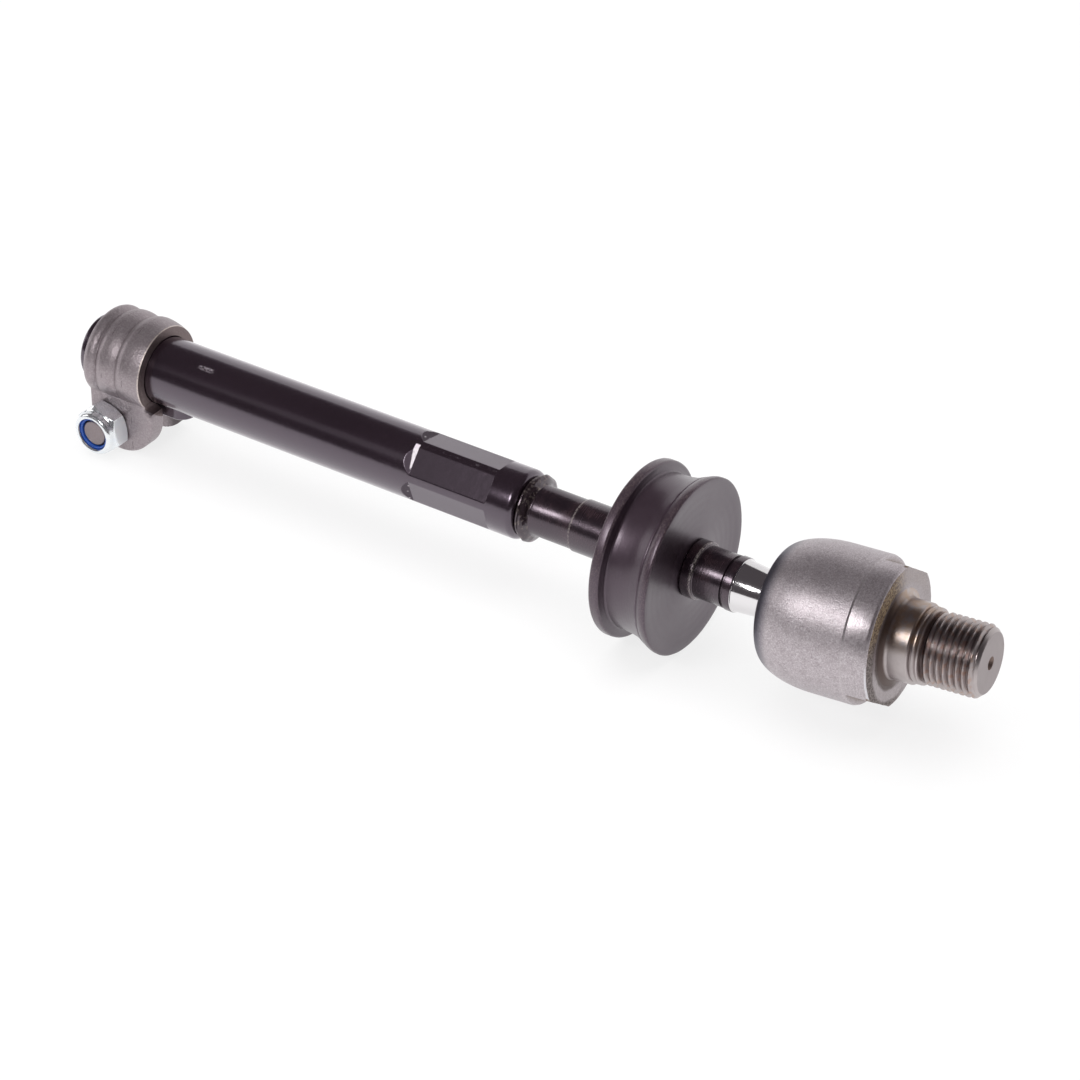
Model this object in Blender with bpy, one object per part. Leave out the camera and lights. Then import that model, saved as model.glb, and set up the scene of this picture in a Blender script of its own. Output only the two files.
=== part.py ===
"""Inner tie rod of a steering rack, with a clamped adjuster tube and a boot grommet.

The rod's axis runs along +X and lies level, one grommet radius above the floor. The ball joint
housing with its threaded stud is at +X, and the clamp is at -X. Lengths along the rod are
measured from the ball's centre, which is also the centre of every swing of the housing.
"""
import math

import bmesh
import bpy

MM = 0.001

# Gaps between pieces that touch on the real object
SEAT_GAP = 0.25 * MM
BALL_GAP = 0.25 * MM

# Ball stud: ball, polished neck and turned rod
BALL_RADIUS = 12.5 * MM
NECK_SMALL_RADIUS = 5.8 * MM
NECK_WAIST_RADIUS = 6.0 * MM
NECK_WAIST_REACH = 12.2 * MM
NECK_LARGE_RADIUS = 7.3 * MM
NECK_REACH = 22.7 * MM
NECK_RING_RADIUS = 7.6 * MM
NECK_RING_WIDTH = 2.7 * MM
NECK_GROOVE_WIDTH = 0.8 * MM
NECK_GROOVE_DEPTH = 0.6 * MM
ROD_RADIUS = 7.35 * MM
STOP_COLLAR_RADIUS = 8.1 * MM
STOP_COLLAR_WIDTH = 3.3 * MM
GROMMET_SEAT_RADIUS = 7.45 * MM
GROMMET_SEAT_LENGTH = 35.0 * MM
SLIM_ROD_RADIUS = 7.1 * MM
BEAD_RADIUS = 9.0 * MM
BEAD_END_RADIUS = 8.1 * MM
BEAD_WIDTH = 2.9 * MM
BEAD_NECK_RADIUS = 8.3 * MM
BEAD_NECK_WIDTH = 1.0 * MM
BEAD_GROOVE_RADIUS = 7.3 * MM
BEAD_GROOVE_WIDTH = 0.8 * MM
SPIGOT_RADIUS = 5.6 * MM
SPIGOT_LENGTH = 14.0 * MM

# Adjuster tube: tapped blind bore, clamp slit, locating lug and spanner flats
TUBE_RADIUS = 10.0 * MM
TUBE_LENGTH = 149.7 * MM
TUBE_END_REACH = 89.9 * MM
TUBE_BORE_RADIUS = 6.2 * MM
TUBE_BORE_DEPTH = 105.0 * MM
TUBE_SHOULDER_ROUND = 2.0 * MM
TUBE_MOUTH_CHAMFER = 0.9 * MM
SLIT_WIDTH = 3.0 * MM
SLIT_LENGTH = 16.5 * MM
LUG_WIDTH = 9.0 * MM
LUG_DROP = 12.8 * MM
LUG_START = 18.5 * MM
LUG_LENGTH = 15.2 * MM
HEX_FLATS = 18.0 * MM
HEX_LENGTH = 25.0 * MM
HEX_TO_SHOULDER = 8.8 * MM
HEX_ROLL = math.radians(-10.0)

# Rubber grommet that the bellows seals on
GROMMET_RADIUS = 25.0 * MM
GROMMET_WIDTH = 17.7 * MM
GROMMET_REACH = 38.1 * MM
GROMMET_GROOVE_RADIUS = 22.3 * MM
GROMMET_FLANGE_WIDTH = 3.6 * MM
GROMMET_LIP_ROUND = 1.1 * MM

# Clamp: ribbed ring with two ears that reach past it
CLAMP_WIDTH = 19.6 * MM
CLAMP_TO_TUBE_END = 3.8 * MM
CLAMP_RING_RADIUS = 13.1 * MM
CLAMP_EDGE_ROUND = 0.4 * MM
# Crests and grooves of the three ribs: millimetres from the left face, height over the ring
CLAMP_RIBS = ((0.4, 0.3), (1.6, 0.95), (3.1, 0.7), (4.4, 0.0), (5.5, 0.7), (7.5, 1.0), (9.8, 0.7),
              (11.5, 0.0), (12.6, 0.65), (14.8, 1.05), (17.2, 0.85), (19.0, 0.5))
RIB_FADE_START = -1.5 * MM
RIB_FADE_END = -8.5 * MM
EAR_HALF_THICKNESS = 10.9 * MM
EAR_GAP = 10.6 * MM
EAR_LENGTH = 22.4 * MM
EAR_TOP = -5.0 * MM
EAR_TOE_TOP = -9.6 * MM
EAR_BOTTOM = -25.0 * MM
EAR_TOE_ROUND = 12.0 * MM
EAR_HEEL_ROUND = 4.0 * MM
EAR_EDGE_ROUND = 0.8 * MM
BOLT_DROP = 16.85 * MM
BOLT_PLACE = 6.65 * MM

# Clamp bolt, nylon-insert nut
BOLT_RADIUS = 4.0 * MM
BOLT_END_CHAMFER = 0.8 * MM
BOLT_HOLE_CLEARANCE = 0.3 * MM
HEAD_FLATS = 13.0 * MM
HEAD_HEIGHT = 5.3 * MM
HEAD_ROLL = math.radians(10.0)
NUT_FLATS = 13.0 * MM
NUT_HEX_HEIGHT = 5.3 * MM
NUT_COLLAR_RADIUS = 6.0 * MM
NUT_HEIGHT = 8.0 * MM
NUT_LIP_RADIUS = 4.9 * MM
NUT_LIP_THICKNESS = 0.5 * MM
NUT_ROLL = math.radians(-9.2)
INSERT_OUTER_RADIUS = 5.1 * MM
INSERT_HEIGHT = 1.9 * MM
BOLT_PROUD = -1.3 * MM

# Ball joint housing with its stud
HOUSING_RADIUS = 20.2 * MM
HOUSING_LIP_REACH = 11.8 * MM
HOUSING_LIP_RADIUS = 14.0 * MM
HOUSING_MOUTH_RADIUS = 12.9 * MM
HOUSING_DOME_END = 4.0 * MM
HOUSING_WALL_START = 15.7 * MM
HOUSING_WALL_RADIUS = 19.9 * MM
HOUSING_BASE_REACH = 22.9 * MM
HOUSING_BASE_CHAMFER = 0.5 * MM
HOUSING_FLATS = 36.0 * MM
HOUSING_FLAT_LENGTH = 5.6 * MM
HOUSING_FLATS_ROLL = math.radians(-37.0)
MOUTH_ANGLE = math.radians(55.5)
SHOULDER_RADIUS = 10.9 * MM
SHOULDER_LENGTH = 5.5 * MM
STUD_THREAD_RADIUS = 10.0 * MM
STUD_UNDERCUT_RADIUS = 9.3 * MM
STUD_UNDERCUT_LENGTH = 4.1 * MM
STUD_THREAD_LENGTH = 16.0 * MM
STUD_END_CHAMFER = 1.8 * MM
CENTRE_DRILL_RADIUS = 2.0 * MM
CENTRE_DRILL_DEPTH = 3.0 * MM

# Bearing inside the housing
SEAT_THICKNESS = 1.6 * MM
SEAT_MOUTH_ANGLE = math.radians(58.0)
SEAT_BACK_ANGLE = math.radians(152.0)
PAD_RADIUS = 9.0 * MM
PAD_HOLE_RADIUS = 3.0 * MM
PAD_BACK_REACH = 16.9 * MM

# The housing lies a little out of line with the rod, as it was left
REST_PITCH = math.radians(3.0)
REST_YAW = math.radians(3.0)

# Facets of the turned pieces
FINE = 48
MEDIUM = 36
COARSE = 20
SPHERE_STEP = math.radians(11.0)


def remove_objects():
    """Empty the scene."""
    for item in list(bpy.data.objects):
        bpy.data.objects.remove(item, do_unlink=True)


def make_material(name, colour, roughness, metallic):
    """A plain surface of one colour."""
    material = bpy.data.materials.new(name)
    material.use_nodes = True
    shader = material.node_tree.nodes["Principled BSDF"]
    shader.inputs["Base Color"].default_value = (*colour, 1.0)
    shader.inputs["Roughness"].default_value = roughness
    shader.inputs["Metallic"].default_value = metallic
    material.diffuse_color = (*colour, 1.0)
    return material


def add_object(name, bm, material=None):
    """Turn a bmesh into an object, smooth on its round stretches."""
    bmesh.ops.recalc_face_normals(bm, faces=bm.faces)
    mesh = bpy.data.meshes.new(name)
    bm.to_mesh(mesh)
    bm.free()
    mesh.shade_smooth()
    mesh.set_sharp_from_angle(angle=math.radians(35.0))
    if material is not None:
        mesh.materials.append(material)
    item = bpy.data.objects.new(name, mesh)
    bpy.context.collection.objects.link(item)
    return item


def add_frame(name, parent=None, place=(0.0, 0.0, 0.0), turn=(0.0, 0.0, 0.0)):
    """An empty that carries the pieces of one assembly or one joint."""
    frame = bpy.data.objects.new(name, None)
    frame.empty_display_size = 10.0 * MM
    frame.parent = parent
    frame.location = place
    frame.rotation_euler = turn
    bpy.context.collection.objects.link(frame)
    return frame


def place_in(item, parent, place=(0.0, 0.0, 0.0), turn=(0.0, 0.0, 0.0)):
    """Set an object in its parent's frame."""
    item.parent = parent
    item.location = place
    item.rotation_euler = turn
    return item


def turned(name, outline, segments, material=None, closed=False, reshape=None):
    """A solid turned about X from (x, radius) points.

    An open outline starts and ends on the axis, and a closed one makes a ring. With reshape,
    the radius of every corner is worked out again from its radius and its height.
    """
    bm = bmesh.new()
    points = [bm.verts.new((x, 0.0, radius)) for x, radius in outline]
    edges = [bm.edges.new(pair) for pair in zip(points, points[1:])]
    if closed:
        edges.append(bm.edges.new((points[-1], points[0])))
    bmesh.ops.spin(bm, geom=points + edges, cent=(0.0, 0.0, 0.0), axis=(1.0, 0.0, 0.0),
                   angle=math.tau, steps=segments, use_merge=True)
    bmesh.ops.remove_doubles(bm, verts=bm.verts, dist=0.0001 * MM)
    if reshape is not None:
        for corner in bm.verts:
            radius = math.hypot(corner.co.y, corner.co.z)
            if radius > 0.0:
                scale = reshape(radius, corner.co.z) / radius
                corner.co.y *= scale
                corner.co.z *= scale
    return add_object(name, bm, material)


def extruded(name, outline, start, end, material=None):
    """A prism of an (x, z) outline between two places along Y."""
    bm = bmesh.new()
    face = bm.faces.new([bm.verts.new((x, start, z)) for x, z in outline])
    grown = bmesh.ops.extrude_face_region(bm, geom=[face])
    moved = [part for part in grown["geom"] if isinstance(part, bmesh.types.BMVert)]
    bmesh.ops.translate(bm, vec=(0.0, end - start, 0.0), verts=moved)
    return add_object(name, bm, material)


def raised(name, outline, bottom, top):
    """A prism of an (x, y) outline between two heights."""
    bm = bmesh.new()
    face = bm.faces.new([bm.verts.new((x, y, bottom)) for x, y in outline])
    grown = bmesh.ops.extrude_face_region(bm, geom=[face])
    moved = [part for part in grown["geom"] if isinstance(part, bmesh.types.BMVert)]
    bmesh.ops.translate(bm, vec=(0.0, 0.0, top - bottom), verts=moved)
    return add_object(name, bm)


def hex_prism(name, flats, start, end, roll, material=None):
    """A hexagonal prism along X, with a corner turned by roll from +Z."""
    corner = flats / math.sqrt(3.0)
    bm = bmesh.new()
    ring = []
    for step in range(6):
        angle = roll + step * math.tau / 6.0
        ring.append(bm.verts.new((start, corner * math.sin(angle), corner * math.cos(angle))))
    face = bm.faces.new(ring)
    grown = bmesh.ops.extrude_face_region(bm, geom=[face])
    moved = [part for part in grown["geom"] if isinstance(part, bmesh.types.BMVert)]
    bmesh.ops.translate(bm, vec=(end - start, 0.0, 0.0), verts=moved)
    return add_object(name, bm, material)


def block(name, low, high):
    """A box between two corners."""
    bm = bmesh.new()
    bmesh.ops.create_cube(bm, size=1.0)
    size = [top - bottom for bottom, top in zip(low, high)]
    middle = [(top + bottom) / 2.0 for bottom, top in zip(low, high)]
    bmesh.ops.scale(bm, vec=size, verts=bm.verts)
    bmesh.ops.translate(bm, vec=middle, verts=bm.verts)
    return add_object(name, bm)


def combine(item, tool, operation):
    """Join, cut or trim an object with another one, which stays as a hidden guide."""
    tool.hide_render = True
    tool.display_type = "WIRE"
    step = item.modifiers.new(tool.name, "BOOLEAN")
    step.operation = operation
    step.solver = "EXACT"
    step.object = tool


def arc(centre_x, centre_radius, radius, start, end, steps):
    """Points of an arc in the (x, radius) plane; angles are measured from +X."""
    points = []
    for step in range(steps + 1):
        angle = start + (end - start) * step / steps
        points.append((centre_x + radius * math.cos(angle),
                       centre_radius + radius * math.sin(angle)))
    return points


def sphere_arc(radius, start, end):
    """Points on a sphere about the ball's centre; angles are measured from -X."""
    steps = max(1, round(abs(end - start) / SPHERE_STEP))
    return arc(0.0, 0.0, radius, math.pi - start, math.pi - end, steps)


def on_sphere(radius, offset):
    """The angle from -X at which a sphere has this distance from the axis."""
    return math.asin(offset / radius)


def ball_stud(material):
    """Spigot, rolled bead, turned rod, polished neck and ball, turned as one piece."""
    bead_start = -TUBE_END_REACH + BEAD_NECK_WIDTH + BEAD_GROOVE_WIDTH
    bead_end = bead_start + BEAD_WIDTH
    bead_height = BEAD_RADIUS - BEAD_GROOVE_RADIUS
    seat_start = -GROMMET_REACH - GROMMET_SEAT_LENGTH
    stop_start = -GROMMET_REACH + SEAT_GAP
    stop_end = stop_start + STOP_COLLAR_WIDTH
    ring_start = -NECK_REACH - NECK_RING_WIDTH
    groove_start = ring_start - NECK_GROOVE_WIDTH
    groove_radius = ROD_RADIUS - NECK_GROOVE_DEPTH
    edge = 0.4 * MM
    outline = [(-TUBE_END_REACH - SPIGOT_LENGTH, 0.0),
               (-TUBE_END_REACH - SPIGOT_LENGTH, SPIGOT_RADIUS - edge),
               (-TUBE_END_REACH - SPIGOT_LENGTH + edge, SPIGOT_RADIUS),
               (-TUBE_END_REACH + SEAT_GAP, SPIGOT_RADIUS),
               (-TUBE_END_REACH + SEAT_GAP, BEAD_NECK_RADIUS),
               (-TUBE_END_REACH + BEAD_NECK_WIDTH, BEAD_NECK_RADIUS),
               (-TUBE_END_REACH + BEAD_NECK_WIDTH, BEAD_GROOVE_RADIUS),
               (bead_start, BEAD_GROOVE_RADIUS)]
    for step in range(6):
        share = step / 5.0
        outline.append((bead_start + BEAD_WIDTH * (0.1 + 0.75 * share),
                        BEAD_GROOVE_RADIUS + bead_height * math.cos(0.9 * (share - 0.25))))
    outline += [(bead_end, BEAD_END_RADIUS),
                (bead_end + edge, SLIM_ROD_RADIUS),
                (seat_start - edge, SLIM_ROD_RADIUS),
                (seat_start, GROMMET_SEAT_RADIUS),
                (stop_start, GROMMET_SEAT_RADIUS),
                (stop_start, STOP_COLLAR_RADIUS - edge),
                (stop_start + edge, STOP_COLLAR_RADIUS),
                (stop_end - edge, STOP_COLLAR_RADIUS),
                (stop_end, STOP_COLLAR_RADIUS - edge),
                (stop_end, ROD_RADIUS),
                (groove_start, ROD_RADIUS),
                (groove_start, groove_radius),
                (ring_start, groove_radius),
                (ring_start, NECK_RING_RADIUS - edge),
                (ring_start + edge, NECK_RING_RADIUS),
                (-NECK_REACH - edge, NECK_RING_RADIUS),
                (-NECK_REACH, NECK_LARGE_RADIUS),
                (-NECK_WAIST_REACH, NECK_WAIST_RADIUS)]
    outline += sphere_arc(BALL_RADIUS, on_sphere(BALL_RADIUS, NECK_SMALL_RADIUS), math.pi)
    outline[-1] = (BALL_RADIUS, 0.0)
    return turned("ball_stud", outline, MEDIUM, material)


def adjuster_tube(material):
    """Tube with a tapped blind bore, a clamp slit and six spanner flats."""
    left = -TUBE_END_REACH - TUBE_LENGTH
    right = -TUBE_END_REACH
    bore_end = left + TUBE_BORE_DEPTH
    socket = SPIGOT_RADIUS + SEAT_GAP
    outline = [(bore_end + TUBE_BORE_RADIUS * 0.6, 0.0),
               (bore_end, TUBE_BORE_RADIUS),
               (left + TUBE_MOUTH_CHAMFER, TUBE_BORE_RADIUS),
               (left, TUBE_BORE_RADIUS + TUBE_MOUTH_CHAMFER),
               (left, TUBE_RADIUS - TUBE_MOUTH_CHAMFER),
               (left + TUBE_MOUTH_CHAMFER, TUBE_RADIUS)]
    outline += arc(right - TUBE_SHOULDER_ROUND, TUBE_RADIUS - TUBE_SHOULDER_ROUND,
                   TUBE_SHOULDER_ROUND, math.pi / 2.0, 0.0, 4)
    outline += [(right, socket),
                (right - SPIGOT_LENGTH - SEAT_GAP, socket),
                (right - SPIGOT_LENGTH - SEAT_GAP, 0.0)]
    tube = turned("adjuster_tube", outline, FINE, material)
    lug_round = LUG_WIDTH / 2.0
    lug_end = left + LUG_START + LUG_LENGTH
    tip = arc(lug_end - lug_round, 0.0, lug_round, -math.pi / 2.0, math.pi / 2.0, 10)
    lug = raised("locating_lug", [(left + LUG_START, lug_round), (left + LUG_START, -lug_round)]
                 + tip, -LUG_DROP, -TUBE_BORE_RADIUS - 1.5 * MM)
    combine(tube, lug, "UNION")
    cutters = [lug]
    slit_end = left + SLIT_LENGTH
    slit = block("slit_cutter", (left - 1.0 * MM, -SLIT_WIDTH / 2.0, -2.0 * TUBE_RADIUS),
                 (slit_end, SLIT_WIDTH / 2.0, 0.0))
    combine(tube, slit, "DIFFERENCE")
    cutters.append(slit)
    hex_end = right - HEX_TO_SHOULDER
    for side in range(6):
        flat = block("hex_flat_cutter_%d" % side,
                     (hex_end - HEX_LENGTH, -TUBE_RADIUS, HEX_FLATS / 2.0),
                     (hex_end, TUBE_RADIUS, TUBE_RADIUS + 2.0 * MM))
        flat.rotation_euler.x = HEX_ROLL + side * math.tau / 6.0
        combine(tube, flat, "DIFFERENCE")
        cutters.append(flat)
    return tube, cutters


def boot_grommet(material):
    """Rubber spool with two flanges and the groove that the bellows sits in."""
    left = -GROMMET_REACH - GROMMET_WIDTH
    right = -GROMMET_REACH
    bore = GROMMET_SEAT_RADIUS + SEAT_GAP
    lip = GROMMET_LIP_ROUND
    outline = [(left, bore)]
    outline += arc(left + lip, GROMMET_RADIUS - lip, lip, math.pi, math.pi / 2.0, 3)
    outline += arc(left + GROMMET_FLANGE_WIDTH - lip, GROMMET_RADIUS - lip, lip,
                   math.pi / 2.0, 0.0, 3)
    outline += arc(left + GROMMET_FLANGE_WIDTH + lip, GROMMET_GROOVE_RADIUS + lip, lip,
                   math.pi, 1.5 * math.pi, 2)
    outline += arc(right - GROMMET_FLANGE_WIDTH - 2.0 * lip, GROMMET_GROOVE_RADIUS + 2.0 * lip,
                   2.0 * lip, 1.5 * math.pi, 2.0 * math.pi - 0.7, 3)
    outline += arc(right - 0.5 * lip, GROMMET_RADIUS - 0.5 * lip, 0.5 * lip, math.pi / 2.0, 0.0, 2)
    outline.append((right, bore))
    return turned("boot_grommet", outline, FINE, material, closed=True)


def clamp_ring_outline():
    """Half section of the ribbed ring, from its left face to its right face."""
    edge = CLAMP_EDGE_ROUND
    outline = [(0.0, 0.0), (0.0, CLAMP_RING_RADIUS - edge)]
    outline += [(x * MM, CLAMP_RING_RADIUS + rise * MM) for x, rise in CLAMP_RIBS]
    outline += [(CLAMP_WIDTH, CLAMP_RING_RADIUS - edge), (CLAMP_WIDTH, 0.0)]
    return outline


def faded_rib(radius, height):
    """Let the ribs sink into the ring on the way down to the ears."""
    if radius <= CLAMP_RING_RADIUS:
        return radius
    share = (height - RIB_FADE_END) / (RIB_FADE_START - RIB_FADE_END)
    share = min(1.0, max(0.0, share))
    return CLAMP_RING_RADIUS + (radius - CLAMP_RING_RADIUS) * share * share * (3.0 - 2.0 * share)


def clamp_ear_outline():
    """Side view of an ear, counted from the ring's left face."""
    quarter = math.pi / 2.0
    outline = [(0.0, EAR_TOP)]
    outline += arc(EAR_HEEL_ROUND, EAR_BOTTOM + EAR_HEEL_ROUND, EAR_HEEL_ROUND,
                   math.pi, math.pi + quarter, 5)
    outline += arc(EAR_LENGTH - EAR_TOE_ROUND, EAR_BOTTOM + EAR_TOE_ROUND, EAR_TOE_ROUND,
                   math.pi + quarter, math.tau, 10)
    outline += [(EAR_LENGTH, EAR_TOE_TOP - EAR_EDGE_ROUND),
                (EAR_LENGTH - EAR_EDGE_ROUND, EAR_TOE_TOP),
                (CLAMP_WIDTH + EAR_EDGE_ROUND, EAR_TOE_TOP + EAR_EDGE_ROUND),
                (CLAMP_WIDTH - EAR_EDGE_ROUND, EAR_TOP)]
    return outline


def clamp_ring(material):
    """Forged clamp: a ribbed ring on the tube, with two ears that the bolt draws together."""
    ring = turned("clamp_ring", clamp_ring_outline(), FINE, material, reshape=faded_rib)
    tools = []

    ears = extruded("ear_block", clamp_ear_outline(), -EAR_HALF_THICKNESS, EAR_HALF_THICKNESS)
    soften = ears.modifiers.new("rounded edges", "BEVEL")
    soften.width = EAR_EDGE_ROUND
    soften.segments = 2
    soften.limit_method = "ANGLE"
    soften.angle_limit = math.radians(60.0)
    combine(ring, ears, "UNION")
    tools.append(ears)

    bore = turned("clamp_bore_cutter", [(-MM, 0.0), (-MM, TUBE_RADIUS + SEAT_GAP),
                                        (EAR_LENGTH + MM, TUBE_RADIUS + SEAT_GAP),
                                        (EAR_LENGTH + MM, 0.0)], FINE)
    combine(ring, bore, "DIFFERENCE")
    tools.append(bore)

    gap = block("ear_gap_cutter", (-MM, -EAR_GAP / 2.0, EAR_BOTTOM - MM),
                (EAR_LENGTH + MM, EAR_GAP / 2.0, 0.0))
    combine(ring, gap, "DIFFERENCE")
    tools.append(gap)

    hole_radius = BOLT_RADIUS + BOLT_HOLE_CLEARANCE
    reach = EAR_HALF_THICKNESS + 2.0 * MM
    hole = turned("bolt_hole_cutter", [(-reach, 0.0), (-reach, hole_radius),
                                       (reach, hole_radius), (reach, 0.0)], COARSE)
    place_in(hole, None, (BOLT_PLACE, 0.0, -BOLT_DROP), (0.0, 0.0, -math.pi / 2.0))
    combine(ring, hole, "DIFFERENCE")
    tools.append(hole)
    return ring, tools


def hex_chamfer(name, flats, start, end, chamfer_start, chamfer_end):
    """Turned envelope that rounds the corners of a hexagon at one or both ends."""
    corner = flats / math.sqrt(3.0)
    cut = corner - flats / 2.0
    slope = math.tan(math.radians(30.0))
    outline = [(start, 0.0)]
    if chamfer_start:
        outline += [(start, flats / 2.0), (start + cut * slope, corner)]
    else:
        outline.append((start, corner + MM))
    if chamfer_end:
        outline += [(end - cut * slope, corner), (end, flats / 2.0)]
    else:
        outline.append((end, corner + MM))
    outline.append((end, 0.0))
    return turned(name, outline, COARSE)


def clamp_bolt(material):
    """Hexagon head bolt along X, with its head at -X."""
    seat = EAR_HALF_THICKNESS + SEAT_GAP
    tip = seat + NUT_HEIGHT + BOLT_PROUD
    head = hex_prism("clamp_bolt", HEAD_FLATS, -seat - HEAD_HEIGHT, -seat, HEAD_ROLL, material)
    envelope = hex_chamfer("head_chamfer", HEAD_FLATS, -seat - HEAD_HEIGHT, -seat, True, False)
    combine(head, envelope, "INTERSECT")
    overlap = 0.5 * MM
    shank = turned("bolt_shank", [(-seat - overlap, 0.0), (-seat - overlap, BOLT_RADIUS),
                                  (tip - BOLT_END_CHAMFER, BOLT_RADIUS),
                                  (tip, BOLT_RADIUS - BOLT_END_CHAMFER), (tip, 0.0)], COARSE)
    combine(head, shank, "UNION")
    return head, [envelope, shank]


def clamp_nut(material):
    """Nylon-insert nut along X, with its hexagon against the ear and its collar outward."""
    seat = EAR_HALF_THICKNESS + SEAT_GAP
    hex_end = seat + NUT_HEX_HEIGHT
    end = seat + NUT_HEIGHT
    thread = BOLT_RADIUS + SEAT_GAP
    nut = hex_prism("clamp_nut", NUT_FLATS, seat, hex_end, NUT_ROLL, material)
    envelope = hex_chamfer("nut_chamfer", NUT_FLATS, seat, hex_end, True, True)
    combine(nut, envelope, "INTERSECT")
    lip_round = 0.9 * MM
    overlap = 0.5 * MM
    outline = [(hex_end - overlap, 0.0), (hex_end - overlap, NUT_COLLAR_RADIUS)]
    outline += arc(end - lip_round, NUT_COLLAR_RADIUS - lip_round, lip_round,
                   math.pi / 2.0, 0.0, 3)
    outline.append((end, 0.0))
    collar = turned("nut_collar", outline, COARSE)
    combine(nut, collar, "UNION")
    pocket_end = end - NUT_LIP_THICKNESS
    pocket_start = pocket_end - INSERT_HEIGHT - 2.0 * SEAT_GAP
    pocket_radius = INSERT_OUTER_RADIUS + SEAT_GAP
    bore = turned("nut_bore", [(seat - MM, 0.0), (seat - MM, thread), (pocket_start, thread),
                               (pocket_start, pocket_radius), (pocket_end, pocket_radius),
                               (pocket_end, NUT_LIP_RADIUS), (end + MM, NUT_LIP_RADIUS),
                               (end + MM, 0.0)], COARSE)
    combine(nut, bore, "DIFFERENCE")
    return nut, [envelope, collar, bore]


def nut_insert(material):
    """Nylon locking ring held in the nut's collar."""
    seat = EAR_HALF_THICKNESS + SEAT_GAP
    end = seat + NUT_HEIGHT - NUT_LIP_THICKNESS - SEAT_GAP
    start = end - INSERT_HEIGHT
    bore = BOLT_RADIUS + SEAT_GAP
    outline = [(start, bore), (start, INSERT_OUTER_RADIUS), (end, INSERT_OUTER_RADIUS), (end, bore)]
    return turned("nut_insert", outline, COARSE, material, closed=True)


def joint_housing(material):
    """Forged cup with its rim rolled over the ball, spanner flats and a threaded stud."""
    cavity = BALL_RADIUS + 2.0 * BALL_GAP + SEAT_THICKNESS
    pocket = PAD_RADIUS + SEAT_GAP
    base = HOUSING_BASE_REACH
    outline = [(PAD_BACK_REACH + SEAT_GAP, 0.0), (PAD_BACK_REACH + SEAT_GAP, pocket)]
    outline += sphere_arc(cavity, math.pi - on_sphere(cavity, pocket), MOUTH_ANGLE)
    outline.append((-HOUSING_LIP_REACH, HOUSING_MOUTH_RADIUS))
    dome_steps = 10
    dome_length = HOUSING_DOME_END + HOUSING_LIP_REACH
    dome_height = HOUSING_RADIUS - HOUSING_LIP_RADIUS
    for step in range(dome_steps + 1):
        angle = math.pi / 2.0 * step / dome_steps
        outline.append((HOUSING_DOME_END - dome_length * math.cos(angle),
                        HOUSING_LIP_RADIUS + dome_height * math.sin(angle)))
    outline += [(HOUSING_WALL_START, HOUSING_RADIUS),
                (HOUSING_WALL_START + 0.3 * MM, HOUSING_WALL_RADIUS),
                (base - HOUSING_BASE_CHAMFER, HOUSING_WALL_RADIUS),
                (base, HOUSING_WALL_RADIUS - HOUSING_BASE_CHAMFER)]
    shoulder_end = base + SHOULDER_LENGTH
    thread_start = shoulder_end + STUD_UNDERCUT_LENGTH
    slope = STUD_THREAD_RADIUS - STUD_UNDERCUT_RADIUS
    stud_end = thread_start + STUD_THREAD_LENGTH
    outline += [(base, SHOULDER_RADIUS),
                (shoulder_end, SHOULDER_RADIUS),
                (shoulder_end + 0.4 * MM, STUD_UNDERCUT_RADIUS),
                (thread_start - slope * 0.6, STUD_UNDERCUT_RADIUS),
                (thread_start, STUD_THREAD_RADIUS),
                (stud_end - STUD_END_CHAMFER, STUD_THREAD_RADIUS),
                (stud_end, STUD_THREAD_RADIUS - STUD_END_CHAMFER),
                (stud_end, CENTRE_DRILL_RADIUS),
                (stud_end - CENTRE_DRILL_DEPTH, 0.0)]
    housing = turned("joint_housing", outline, FINE, material)
    cutters = []
    for side in range(2):
        flat = block("housing_flat_cutter_%d" % side,
                     (base - HOUSING_FLAT_LENGTH, -HOUSING_RADIUS, HOUSING_FLATS / 2.0),
                     (base + MM, HOUSING_RADIUS, HOUSING_RADIUS + 2.0 * MM))
        flat.rotation_euler.x = HOUSING_FLATS_ROLL + side * math.pi
        combine(housing, flat, "DIFFERENCE")
        cutters.append(flat)
    return housing, cutters


def ball_seat(material):
    """Thin bearing shell between the ball and the housing."""
    inner = BALL_RADIUS + BALL_GAP
    outer = inner + SEAT_THICKNESS
    outline = sphere_arc(outer, SEAT_MOUTH_ANGLE, SEAT_BACK_ANGLE)
    outline += sphere_arc(inner, SEAT_BACK_ANGLE, SEAT_MOUTH_ANGLE)
    return turned("ball_seat", outline, MEDIUM, material, closed=True)


def preload_pad(material):
    """Elastic disc behind the shell, dished to its back."""
    face = BALL_RADIUS + 2.0 * BALL_GAP + SEAT_THICKNESS
    inner_angle = math.pi - on_sphere(face, PAD_HOLE_RADIUS)
    outer_angle = math.pi - on_sphere(face, PAD_RADIUS)
    outline = sphere_arc(face, inner_angle, outer_angle)
    outline += [(PAD_BACK_REACH, PAD_RADIUS), (PAD_BACK_REACH, PAD_HOLE_RADIUS)]
    return turned("preload_pad", outline, COARSE, material, closed=True)


def rest_tilt():
    """Angle between the stored housing and the rod."""
    return math.acos(math.cos(REST_PITCH) * math.cos(REST_YAW))


def ball_centre_x():
    """Place of the ball's centre that puts the middle of the whole rod at x = 0."""
    left_reach = TUBE_END_REACH + TUBE_LENGTH
    stud_reach = (HOUSING_BASE_REACH + SHOULDER_LENGTH + STUD_UNDERCUT_LENGTH
                  + STUD_THREAD_LENGTH)
    tilt = rest_tilt()
    end_radius = STUD_THREAD_RADIUS - STUD_END_CHAMFER
    right_reach = stud_reach * math.cos(tilt) + end_radius * math.sin(tilt)
    return (left_reach - right_reach) / 2.0


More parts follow.
